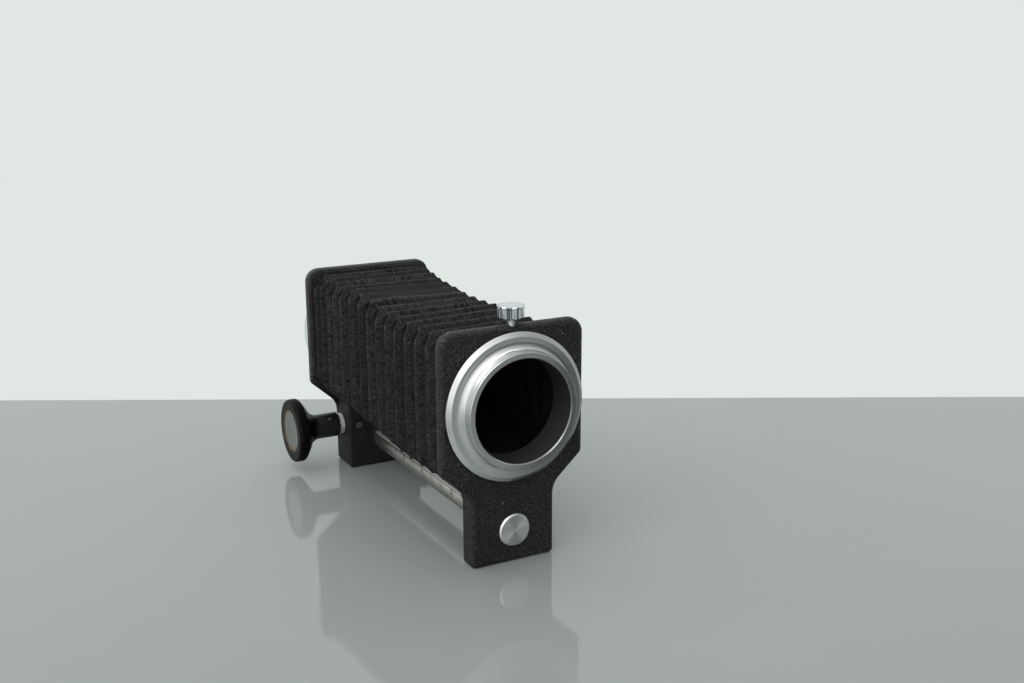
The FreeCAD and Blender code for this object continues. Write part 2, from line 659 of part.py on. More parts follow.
def knob_disc():
    """Disc let into the knob's outer face."""
    return turned_x([
        (KNOB_X + 0.94, 0.0), (KNOB_X + 0.94, 10.0), (KNOB_X + 0.4, 10.0),
        (KNOB_X + 0.25, 9.85), (KNOB_X + 0.25, 0.0)], PINION_Y, PINION_Z)


def knob_grub_screw():
    grub = cyl_z(1.0, PINION_Z + 1.76, PINION_Z + 5.2, GRUB_X, PINION_Y)
    hexagon = [Vector(x, y, PINION_Z + 4.0) for x, y in circle_points(6, 0.5, GRUB_X, PINION_Y)]
    return one(turn_grub(grub.cut(polygon_face(hexagon).extrude(Vector(0, 0, 2)))))


# ---------------------------------------------------------------- bellows
# Fold lines along Y.  Between the two ends, on even lines the top and bottom
# walls stand out and the side walls are folded in; on odd lines it is the
# other way round.
FOLDS = [5.0, 10.8, 16.0, 21.2, 26.3, 31.5, 36.5, 41.5, 46.5, 51.5, 56.0, 61.0, 65.5,
         70.5, 75.0, 80.0, 85.0, 89.5, 93.5, 99.0, 103.0, 107.0, 111.0, 115.0, 119.0,
         123.0, 127.0, 131.0, 135.0, 139.0, 143.7]
LAST_FOLD = len(FOLDS) - 1
FOLD_D = 5.4              # fold depth
BELLOWS_T = 0.8           # wall thickness across the bellows axis
# (Y, distance from the axis) of the walls where they stand out
SIDE_WALLS = [(5.0, 27.0), (50.0, 27.3), (95.0, 27.8), (143.7, 29.5)]
TOP_WALL = [(5.0, 27.0), (75.0, 27.2), (85.0, 28.2), (103.0, 29.6), (143.7, 30.2)]
BOTTOM_WALL = 29.9        # hangs just above the block
# (half width, height above the axis, depth below it) at the ends
FRONT_END = (26.0, 26.0, 26.0)
REAR_END = (28.5, 29.0, 27.6)


def interpolate(table, y):
    for (y0, value0), (y1, value1) in zip(table, table[1:]):
        if y <= y1:
            return value0 + (value1 - value0) * (y - y0) / (y1 - y0)


def fold_size(i):
    """Half width, height above and depth below the axis at a fold line."""
    if i == 0:
        return FRONT_END
    if i == LAST_FOLD:
        return REAR_END
    side = interpolate(SIDE_WALLS, FOLDS[i])
    top = interpolate(TOP_WALL, FOLDS[i])
    if i % 2 == 0:
        return side - FOLD_D, top, BOTTOM_WALL
    return side, top - FOLD_D, BOTTOM_WALL - FOLD_D


def fold_ring(i, inset):
    side, top, bottom = [size - inset for size in fold_size(i)]
    return [Vector(x, FOLDS[i], z) for x, z in (
        (-side, AXIS_Z - bottom), (side, AXIS_Z - bottom),
        (side, AXIS_Z + top), (-side, AXIS_Z + top))]


def band(ring, other):
    """Four faces joining two rings of four points."""
    return [polygon_face([ring[k], ring[(k + 1) % 4], other[(k + 1) % 4], other[k]])
            for k in range(4)]


def bellows():
    faces = []
    for inset in (0.0, BELLOWS_T):
        for i in range(LAST_FOLD):
            faces += band(fold_ring(i, inset), fold_ring(i + 1, inset))
    for i in (0, LAST_FOLD):
        faces += band(fold_ring(i, 0.0), fold_ring(i, BELLOWS_T))
    shell = Part.makeShell(faces)
    shell.sewShape()
    solid = Part.makeSolid(shell)
    if solid.Volume < 0:
        solid.reverse()
    return solid


# Each piece's file takes the name of the function that builds it.
for build in (
        front_standard, front_mount_ring, front_ring_retainer, ring_thumb_screw,
        rail_rod, rail_cap, rail_set_screw, rail_stop_collar, stop_set_screw,
        rack, rack_screws,
        front_bellows_frame, rear_bellows_frame, front_frame_screws, rear_frame_screws,
        rear_standard, rear_mount_ring, rear_ring_screws,
        rail_sleeve, pinion_bearing_nut, pinion_end_bush, bearing_set_screw, tripod_bush,
        lock_thumb_screw, lock_pad,
        pinion_shaft, focus_knob, knob_disc, knob_grub_screw, bellows):
    save(build.__name__, build())
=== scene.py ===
"""Looks of a camera bellows unit: two standards on a round rail, with a folded cloth between.

Frame: +x right, +y from the front standard to the rear one, +z up. The lens axis runs along y.
Mesh tables are in mm, with y measured from the front face; materials, lights and camera are
in metres, in the frame's own coordinates.
"""
import bmesh
import bpy
import math
import random
from mathutils import Matrix, Vector


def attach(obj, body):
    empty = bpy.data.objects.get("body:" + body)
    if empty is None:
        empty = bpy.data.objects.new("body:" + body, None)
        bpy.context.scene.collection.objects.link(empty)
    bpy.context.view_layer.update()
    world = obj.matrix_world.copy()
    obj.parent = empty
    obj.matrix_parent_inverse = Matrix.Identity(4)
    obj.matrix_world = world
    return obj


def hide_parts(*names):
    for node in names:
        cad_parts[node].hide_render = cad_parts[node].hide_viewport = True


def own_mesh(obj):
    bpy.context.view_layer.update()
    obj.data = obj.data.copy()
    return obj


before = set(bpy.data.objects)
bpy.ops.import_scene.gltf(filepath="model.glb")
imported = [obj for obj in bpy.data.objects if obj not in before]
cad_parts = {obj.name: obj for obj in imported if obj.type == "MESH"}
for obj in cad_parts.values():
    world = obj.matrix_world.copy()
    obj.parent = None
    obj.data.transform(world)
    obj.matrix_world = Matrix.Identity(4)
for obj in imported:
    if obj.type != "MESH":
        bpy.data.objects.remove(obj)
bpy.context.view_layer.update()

MM = 0.001
FOOT = 5.0                                  # the frame's origin lies this far behind the front face
AXIS_Z = 63.8                               # height of the lens axis
RAIL_Z = 13.2                               # height of the rail's centre line
LENS_CENTRE = (0, 0, AXIS_Z * MM)
RAIL_CENTRE = (0, 0, RAIL_Z * MM)
KNOB_Y, KNOB_Z = 0.137, 0.0194              # the focus knob's axis runs along x through here, m
KNOB_CENTRE = (0.0, KNOB_Y, KNOB_Z)


# ------------------------------------------------------------------ node graphs
class Value:
    """A node's output. Arithmetic and comparisons on it write Math nodes."""

    def __init__(self, graph, socket):
        self.graph = graph
        self.socket = socket

    def math(self, operation, other=0.0):
        return self.graph.math(operation, self, other)

    def __add__(self, other):
        return self.math("ADD", other)

    def __sub__(self, other):
        return self.math("SUBTRACT", other)

    def __rsub__(self, other):
        return self.graph.math("SUBTRACT", other, self)

    def __mul__(self, other):
        return self.math("MULTIPLY", other)

    def __lt__(self, other):
        return self.math("LESS_THAN", other)

    def __gt__(self, other):
        return self.math("GREATER_THAN", other)

    def __abs__(self):
        return self.math("ABSOLUTE")

    def max(self, other):
        return self.math("MAXIMUM", other)

    def ramp(self, start, end, to=(0.0, 1.0), smooth=False):
        """Map start..end onto the range `to`, held level beyond both ends."""
        inputs = {0: self, 1: start, 2: end, 3: to[0], 4: to[1]}
        kind = "SMOOTHSTEP" if smooth else "LINEAR"
        return self.graph.out("MapRange", inputs, interpolation_type=kind)


class Graph:
    """A node tree, with a short method for each kind of node used often."""

    def __init__(self, tree):
        self.nodes = tree.nodes
        self.links = tree.links
        self.nodes.clear()

    def put(self, socket, value):
        """Link a Value to a socket, or set the socket's own value."""
        if isinstance(value, Value):
            self.links.new(value.socket, socket)
        elif socket.type == "RGBA":
            socket.default_value = (*value, 1.0)
        else:
            socket.default_value = value

    def node(self, kind, inputs=None, **props):
        node = self.nodes.new("ShaderNode" + kind)
        for key, value in props.items():
            setattr(node, key, value)
        for key, value in (inputs or {}).items():
            self.put(node.inputs[key], value)
        return node

    def out(self, kind, inputs=None, output=0, **props):
        """Make a node and return one of its outputs."""
        return Value(self, self.node(kind, inputs, **props).outputs[output])

    def math(self, operation, first, second=0.0):
        return self.out("Math", {0: first, 1: second, 2: 0.0}, operation=operation)

    def vmath(self, operation, first, second=None, output=0):
        inputs = {0: first}
        if second is not None:
            inputs[3 if operation == "SCALE" else 1] = second
        return self.out("VectorMath", inputs, output, operation=operation)

    def dot(self, first, second):
        return self.vmath("DOT_PRODUCT", first, second, output=1)

    def mix(self, amount, first, second):
        """Mix two colours."""
        return self.out("Mix", {0: amount, 6: first, 7: second}, 2, data_type="RGBA")

    def mix_float(self, amount, first, second):
        return self.out("Mix", {0: amount, 2: first, 3: second}, data_type="FLOAT")


class Material(Graph):
    """A procedural material round one Principled shader."""

    def __init__(self, name):
        self.material = bpy.data.materials.new(name)
        self.material.use_nodes = True
        super().__init__(self.material.node_tree)
        self.output = self.node("OutputMaterial")
        self.shader = self.node("BsdfPrincipled")
        self.put(self.output.inputs[0], Value(self, self.shader.outputs[0]))
        self.point = self.out("TexCoord", output="Object")

    def surface(self, **inputs):
        """Set the shader's inputs; an underscore stands for a space in a name."""
        for name, value in inputs.items():
            self.put(self.shader.inputs[name.replace("_", " ")], value)

    def linked(self, name):
        """What already feeds one of the shader's inputs."""
        return Value(self, self.shader.inputs[name].links[0].from_socket)

    def noise(self, scale, detail=3.0, rough=0.5, at=None, output="Fac"):
        inputs = {"Vector": at or self.point, "Scale": scale, "Detail": detail, "Roughness": rough}
        return self.out("TexNoise", inputs, output)

    def noise_1d(self, at, scale, detail=3.0, rough=0.6):
        inputs = {"W": at, "Scale": scale, "Detail": detail, "Roughness": rough}
        return self.out("TexNoise", inputs, noise_dimensions="1D")

    def cells(self, scale, at=None):
        """Distance to the nearest of many scattered points."""
        return self.out("TexVoronoi", {"Vector": at or self.point, "Scale": scale}, "Distance")

    def bump(self, height, distance, strength):
        return self.out("Bump", {"Height": height, "Distance": distance, "Strength": strength})

    def edge(self, radius, full=0.35):
        """0 on flats, 1 on tight outer and inner edges, where the normal turns by `full`."""
        rounded = self.out("Bevel", {"Radius": radius}, samples=4)
        sharp = self.out("NewGeometry", output="Normal")
        return (1.0 - self.dot(rounded, sharp)).ramp(0.009, full)

    def stretch(self, x, y, z, at=None):
        """Coordinates scaled by x, y, z; a small factor draws a texture out along that axis."""
        return self.out("Mapping", {"Vector": at or self.point, "Scale": (x, y, z)})

    def split(self, vector):
        node = self.node("SeparateXYZ", {0: vector})
        return [Value(self, socket) for socket in node.outputs]

    def grey(self, value):
        return self.out("CombineXYZ", {0: value, 1: value, 2: value})


class Axis:
    """Polar coordinates about an object axis "X", "Y" or "Z" through a centre."""

    def __init__(self, mat, name, centre):
        self.mat = mat
        self.direction = tuple(float(name == other) for other in "XYZ")
        self.offset = mat.vmath("SUBTRACT", mat.point, centre)
        x, y, z = mat.split(self.offset)
        self.across, self.rise = {"X": (y, z), "Y": (x, z), "Z": (x, y)}[name]

    def radius(self):
        return (self.across * self.across + self.rise * self.rise).math("SQRT")

    def angle(self):
        return self.rise.math("ARCTAN2", self.across)

    def tangent(self):
        """Unit vector round the axis, in world space."""
        cross = self.mat.vmath("CROSS_PRODUCT", self.offset, self.direction)
        unit = self.mat.vmath("NORMALIZE", cross)
        return self.mat.out("VectorTransform", {0: unit}, vector_type="VECTOR",
                            convert_from="OBJECT", convert_to="WORLD")


def scaled(colour, factors):
    return tuple(part * factor for part, factor in zip(colour, factors))


# ------------------------------------------------------------------ materials
def crackle_paint():
    mat = Material("crackle_paint")
    # height of the skin: ridges and lumps with fine grain, less the pits
    wobble = mat.noise(scale=700.0, detail=2.0, output="Color")
    wobble = mat.vmath("SUBTRACT", wobble, (0.5, 0.5, 0.5))
    skin = mat.vmath("ADD", mat.point, mat.vmath("SCALE", wobble, 0.0010))
    ridge = abs(mat.noise(scale=1080.0, detail=1.5, at=skin) - 0.5)
    ridge = ridge.ramp(0.0, 0.10, to=(1.0, 0.0), smooth=True)
    lump = mat.cells(scale=1320.0, at=skin).ramp(0.08, 0.62, to=(1.0, 0.0), smooth=True)
    pit = mat.noise(scale=620.0, rough=0.6).ramp(0.36, 0.47, to=(1.0, 0.0), smooth=True)
    fine = mat.noise(scale=4200.0, detail=2.0, rough=0.6)
    height = ridge * 0.42 + lump * 0.62 + fine * 0.10 - pit * 0.34
    tone = mat.noise(scale=36.0, detail=4.0, rough=0.6).ramp(0.32, 0.68, to=(0.62, 1.30))
    hollow, crest = (0.0026, 0.0028, 0.0026), (0.055, 0.0552, 0.0515)
    base = mat.mix((height * tone).ramp(0.20, 1.02), hollow, crest)
    # painted highlight: the cast rim and its rounded edges are lighter grey and smooth, partly
    # rubbed
    normal = mat.out("VectorTransform", {0: mat.out("NewGeometry", output="Normal")},
                     vector_type="NORMAL", convert_from="WORLD", convert_to="OBJECT")
    normal_x, normal_y, _ = mat.split(normal)
    x, y, z = mat.split(mat.point)
    rim = abs(normal_y).ramp(0.96, 0.55, smooth=True)
    rim = rim * z.ramp(0.034, 0.046, to=(0.30, 1.0), smooth=True)
    # distance from the plate's corner centres, so that the band just inside the rim gets the painted
    # highlight too
    beyond_x = (abs(x) - 0.0247).max(0.0)
    beyond_z = (z - 0.0892).max(0.0)
    beyond = (beyond_x * beyond_x + beyond_z * beyond_z).math("SQRT")
    band = beyond.ramp(0.00415, 0.00475, smooth=True) * (z > 0.044)
    rear = y > 0.1
    rim = rim.max(band) * mat.mix_float(rear, 0.42, 1.0)
    patches = mat.noise(scale=120.0, detail=5.0, rough=0.65)
    rim = rim * patches.ramp(0.25, 0.62, to=(0.45, 1.0))
    # the rim's lighter grey: painted highlight, partly rubbed
    rubbed_and_lit = mat.mix(height.ramp(0.1, 1.0), (0.030, 0.032, 0.031), (0.092, 0.095, 0.089))
    base = mat.mix(rim * 0.80, base, rubbed_and_lit)
    # painted shade: the front and left faces of the rear block are darkened low down, under the
    # bellows
    front_shade = rear * normal_y.ramp(-0.5, -0.85) * z.ramp(0.0345, 0.0325)
    left_shade = rear * normal_x.ramp(-0.5, -0.85) * z.ramp(0.0360, 0.0320)
    shade = (front_shade * 0.62).max(left_shade * 0.80)
    base = mat.mix(shade, base, (0.0030, 0.0030, 0.0032))
    # edges worn light
    rough_patch = mat.noise(scale=330.0, detail=5.0, rough=0.65)
    wear = mat.edge(radius=0.0009) * rough_patch.ramp(0.42, 0.68)
    base = mat.mix(wear * 0.65, base, (0.125, 0.124, 0.114))
    # rare pin-point chips down to bare metal
    dots = mat.node("TexVoronoi", {"Vector": mat.point, "Scale": 230.0})
    pick = mat.out("SeparateColor", {0: Value(mat, dots.outputs["Color"])})
    chip = (Value(mat, dots.outputs["Distance"]) < 0.060) * (pick > 0.84)
    base = mat.mix(chip, base, (0.40, 0.38, 0.35))
    relief = height * rim.ramp(0.0, 1.0, to=(1.0, 0.45))
    mat.surface(Base_Color=base, Metallic=chip * 0.8,
                Roughness=height.ramp(0.2, 1.0, to=(0.66, 0.44)),
                Normal=mat.bump(relief, distance=0.00020, strength=0.9),
                Specular_IOR_Level=0.34)
    return mat.material


def turned_metal(name, centre, base=(0.70, 0.715, 0.715), rough=0.215, aniso=0.55, grooves=1.0):
    """Aluminium turned about a y axis; returns the graph, so that more can be laid over it."""
    mat = Material(name)
    axis = Axis(mat, "Y", centre)
    radius = axis.radius() + mat.noise(scale=500.0, detail=1.0) * 0.00001
    lines = mat.noise_1d(radius, scale=5200.0)
    broad = mat.noise_1d(radius, scale=700.0, detail=2.0, rough=0.5)
    dirt = mat.noise(scale=120.0, detail=4.0, rough=0.55)
    smudge = dirt.ramp(0.50, 0.80, smooth=True)
    spots = (mat.cells(scale=330.0) < 0.07) * (dirt > 0.50)
    colour = mat.mix(smudge * 0.22, base, scaled(base, (0.72, 0.70, 0.66)))
    colour = mat.mix(lines.ramp(0.35, 0.7, to=(0.0, 0.16)), colour,
                     scaled(base, (0.72, 0.72, 0.73)))
    colour = mat.mix(spots * 0.55, colour, (0.20, 0.18, 0.15))
    sheen = broad.ramp(0.3, 0.7, to=(rough - 0.015, rough + 0.02)) + smudge * 0.06
    mat.surface(Base_Color=colour, Metallic=1.0, Roughness=sheen, Anisotropic=aniso,
                Tangent=axis.tangent(),
                Normal=mat.bump(lines + broad * 0.2, distance=0.0000016 * grooves, strength=0.25))
    return mat


def front_ring_metal():
    """Turned aluminium; the clear bore is matt black."""
    mat = turned_metal("satin_aluminium_front", LENS_CENTRE)
    axis = Axis(mat, "Y", LENS_CENTRE)
    radius = axis.radius()
    y = mat.split(mat.point)[1]
    bore = (radius < 0.02056) * (y > -0.01331)
    # painted shade: one sector is darker, where the ring turns away from the light, and the inner
    # step darker still
    sector_shade = (axis.angle() + 0.35).math("COSINE").ramp(-0.25, 0.75, to=(1.0, 0.46), smooth=True)
    sector_shade = sector_shade * radius.ramp(0.0226, 0.0234, to=(0.80, 1.0))
    metal_colour = mat.vmath("MULTIPLY", mat.linked("Base Color"), mat.grey(sector_shade))
    black = mat.mix(mat.noise(scale=800.0), (0.014, 0.014, 0.014), (0.036, 0.0355, 0.035))
    mat.surface(Base_Color=mat.mix(bore, metal_colour, black),
                Roughness=mat.mix_float(bore, mat.linked("Roughness"), 0.55),
                Metallic=mat.mix_float(bore, 1.0, 0.0),
                Anisotropic=mat.mix_float(bore, 0.55, 0.0))
    return mat.material


def rail_metal():
    """Nickel with scratches along and across; the flat on top of the rail is painted pale and part
    matt, a painted highlight.
    """
    mat = Material("nickel_rail")
    long = mat.noise(scale=60.0, detail=6.0, rough=0.7, at=mat.stretch(30.0, 1.2, 30.0))
    cross = mat.noise(scale=60.0, detail=4.0, rough=0.7, at=mat.stretch(2.0, 60.0, 2.0))
    blot = mat.noise(scale=95.0, detail=5.0, rough=0.6)
    base = mat.mix(blot.ramp(0.42, 0.75), (0.60, 0.585, 0.555), (0.40, 0.385, 0.355))
    base = mat.mix(long.ramp(0.5, 0.75, to=(0.0, 0.35)), base, (0.34, 0.33, 0.31))
    spot = (mat.cells(scale=520.0) < 0.12) * (blot > 0.52)
    base = mat.mix(spot * 0.6, base, (0.13, 0.12, 0.105))
    z = mat.split(mat.point)[2]
    # painted highlight: the flat is coloured near white, standing in for its bright reflection
    flat = z.ramp(0.01595, 0.01612)
    marks = mat.noise(scale=60.0, rough=0.7, at=mat.stretch(1.0, 9.0, 1.0))
    marks = marks.ramp(0.60, 0.70, to=(0.0, 0.45))
    base = mat.mix(flat, base, mat.mix(marks, (0.93, 0.92, 0.89), (0.30, 0.29, 0.27)))
    # a dark line just under the flat
    line = z.ramp(0.01540, 0.01565) * z.ramp(0.01612, 0.01590)
    base = mat.mix(line * 0.8, base, (0.085, 0.08, 0.075))
    round_sheen = (long + blot).ramp(0.7, 1.3, to=(0.29, 0.44))
    mat.surface(Base_Color=base, Metallic=mat.mix_float(flat, 1.0, 0.35),
                Roughness=mat.mix_float(flat, round_sheen, 0.24), Anisotropic=0.35,
                Normal=mat.bump(long * 0.7 + cross * 0.5, distance=0.000012, strength=0.6))
    return mat.material


def chrome(name, bright, clouded, rough, fluted=False):
    mat = Material(name)
    cloud = mat.noise(scale=260.0, detail=5.0, rough=0.6)
    base = mat.mix(cloud.ramp(0.45, 0.8), bright, clouded)
    if fluted:
        # dark reflections standing in the flutes of the thumb screw's head
        axis = Axis(mat, "Z", (0.0, -0.003, 0.0))
        streak = mat.noise_1d(axis.angle() + 0.35, scale=1.9, detail=0.0, rough=0.5)
        dark = streak.ramp(0.50, 0.56, smooth=True) * axis.radius().ramp(0.0046, 0.0049)
        base = mat.mix(dark * 0.86, base, (0.050, 0.085, 0.095))
    patches = mat.noise(scale=900.0, detail=4.0)
    wear = mat.edge(radius=0.00035) * patches.ramp(0.45, 0.7)
    base = mat.mix(wear * 0.5, base, (0.85, 0.80, 0.70))
    fine = mat.noise(scale=2600.0, rough=0.6)
    mat.surface(Base_Color=base, Metallic=1.0, Roughness=cloud.ramp(0.3, 0.75, to=(rough, 0.22)),
                Normal=mat.bump(fine, distance=0.000004, strength=0.5))
    return mat.material


def bright_nut():
    """Plated nut painted pale and part matt, a painted highlight, so it looks white beside the black
    stem.
    """
    mat = Material("bright_nut")
    cloud = mat.noise(scale=420.0, detail=5.0, rough=0.6)
    spin = mat.noise_1d(mat.split(mat.point)[0], scale=5200.0, detail=2.0)
    base = mat.mix(cloud.ramp(0.4, 0.75), (0.82, 0.83, 0.83), (0.48, 0.49, 0.48))
    base = mat.mix(spin.ramp(0.55, 0.75, to=(0.0, 0.35)), base, (0.40, 0.40, 0.40))
    mat.surface(Base_Color=base, Metallic=0.30, Roughness=cloud.ramp(0.3, 0.7, to=(0.18, 0.32)),
                Normal=mat.bump(cloud + spin, distance=0.000006, strength=0.6))
    return mat.material


def cap_metal():
    """Spun disc with a painted highlight: two broad bright fans across it, darker above and below.
    """
    mat = turned_metal("satin_aluminium_cap", RAIL_CENTRE, base=(0.88, 0.89, 0.88), rough=0.32,
                       aniso=0.86, grooves=1.4)
    axis = Axis(mat, "Y", RAIL_CENTRE)
    angle = axis.angle()
    # painted highlight: bright and dark fans by angle round the disc, standing in for its reflection
    fan_highlight = ((angle + 0.12) * 2.0).math("COSINE")
    fan_highlight = fan_highlight + (mat.noise_1d(angle, scale=6.0, detail=2.0) - 0.5) * 0.7
    fan_highlight = fan_highlight.ramp(-0.9, 0.6, to=(0.64, 1.0), smooth=True)
    rings = mat.noise_1d(axis.radius(), scale=2600.0, detail=2.0)
    rings = rings.ramp(0.35, 0.65, to=(0.80, 1.0))
    shading = mat.grey(fan_highlight * rings)
    mat.surface(Base_Color=mat.vmath("MULTIPLY", mat.linked("Base Color"), shading))
    return mat.material


def metal(name, light, dark, rough, scale, brushed, edge=0.4):
    """Mottled bare metal; `brushed` stretches the fine grain, `edge` brightens the edges."""
    mat = Material(name)
    mottle = mat.noise(scale=scale, detail=5.0, rough=0.65)
    grain = mat.noise(scale=scale * 3.0, rough=0.6, at=mat.stretch(*brushed))
    base = mat.mix(mottle.ramp(0.35, 0.7), light, dark)
    base = mat.mix(mat.edge(radius=0.00025) * edge, base,
                   tuple(min(1, part * 1.5) for part in light))
    mat.surface(Base_Color=base, Metallic=1.0,
                Roughness=(mottle + grain).ramp(0.6, 1.3, to=(rough - 0.07, rough + 0.12)),
                Normal=mat.bump(grain, distance=0.00001, strength=0.5))
    return mat.material


def black_steel():
    mat = Material("black_steel")
    mottle = mat.noise(scale=420.0, detail=5.0, rough=0.6)
    wear = mat.edge(radius=0.0004) * mottle.ramp(0.4, 0.7)
    base = mat.mix(mottle.ramp(0.3, 0.75), (0.010, 0.010, 0.011), (0.024, 0.024, 0.025))
    base = mat.mix(wear * 0.6, base, (0.20, 0.19, 0.18))
    mat.surface(Base_Color=base, Metallic=0.35, Roughness=mottle.ramp(0.3, 0.7, to=(0.40, 0.56)),
                Normal=mat.bump(mat.noise(scale=2400.0), distance=0.00002, strength=0.6))
    return mat.material


def black_knob():
    mat = Material("black_knob")
    mottle = mat.noise(scale=380.0, detail=6.0, rough=0.65)
    broad = mat.noise(scale=90.0)
    fine = mat.noise(scale=2600.0, rough=0.6)
    radius = Axis(mat, "X", KNOB_CENTRE).radius()
    x = mat.split(mat.point)[0]
    # painted sheen: the outer face is coloured a little greyer, and edges are worn brown there more
    # than further in
    face_sheen = (x < -0.0424) * (radius > 0.0098)
    wear = mat.edge(radius=0.0005, full=0.28) * mottle.ramp(0.46, 0.62)
    wear = wear * x.ramp(-0.0424, -0.0418, to=(1.0, 0.10))
    base = mat.mix(broad.ramp(0.3, 0.7), (0.0010, 0.0010, 0.0012), (0.0022, 0.0022, 0.0023))
    base = mat.mix(face_sheen * 0.5, base, (0.0042, 0.0050, 0.0056))
    base = mat.mix(wear * 0.8, base, (0.17, 0.135, 0.095))
    chip = (mat.cells(scale=420.0) < 0.11) * (mottle > 0.63)
    base = mat.mix(chip, base, (0.16, 0.14, 0.11))
    # bare brassy ring worn around the inset disc
    rim = radius.ramp(0.0099, 0.0109, to=(1.0, 0.0), smooth=True) * (radius > 0.0096)
    rim = rim * mat.noise(scale=170.0, detail=5.0, rough=0.7).ramp(0.40, 0.60)
    rim = rim * (x < -0.042)
    base = mat.mix(rim * 0.9, base, (0.20, 0.135, 0.085))
    # the stem is glossier than the knob
    stem = (radius < 0.0068) * x.ramp(-0.0350, -0.0320)
    mat.surface(Base_Color=base, Metallic=wear.max(rim) * 0.7,
                Roughness=(mottle + broad).ramp(0.7, 1.3, to=(0.34, 0.46)),
                Normal=mat.bump(fine, distance=0.000008, strength=0.4),
                Specular_IOR_Level=mat.mix_float(stem, 0.07, 0.62))
    return mat.material


def grey_disc():
    """Scratched grey disc in the knob, worn brown unevenly round its edge and pitted."""
    mat = Material("grey_disc")
    radius = Axis(mat, "X", KNOB_CENTRE).radius()
    mottle = mat.noise(scale=240.0, detail=7.0, rough=0.72)
    broad = mat.noise(scale=75.0, detail=4.0, rough=0.6)
    scratch = mat.noise(scale=120.0, detail=5.0, rough=0.7, at=mat.stretch(1.0, 0.35, 7.0))
    base = mat.mix(broad.ramp(0.3, 0.7), (0.130, 0.143, 0.136), (0.230, 0.247, 0.235))
    base = mat.mix(scratch.ramp(0.48, 0.75, to=(0.0, 0.35)), base, (0.22, 0.23, 0.22))
    _, y, z = mat.split(mat.point)
    lean = (y - KNOB_Y) - (z - KNOB_Z) * 0.7
    reach = radius + (mottle - 0.5) * 0.0060 + lean * 0.13
    base = mat.mix(reach.ramp(0.0080, 0.0096), base, (0.17, 0.112, 0.072))
    pit = (mat.cells(scale=480.0) < 0.19) * (mottle > 0.53)
    base = mat.mix(pit * 0.7, base, (0.07, 0.06, 0.05))
    mat.surface(Base_Color=base, Metallic=0.55, Roughness=mottle.ramp(0.3, 0.7, to=(0.38, 0.58)),
                Normal=mat.bump(mottle + pit * -0.6, distance=0.00005, strength=0.7))
    return mat.material


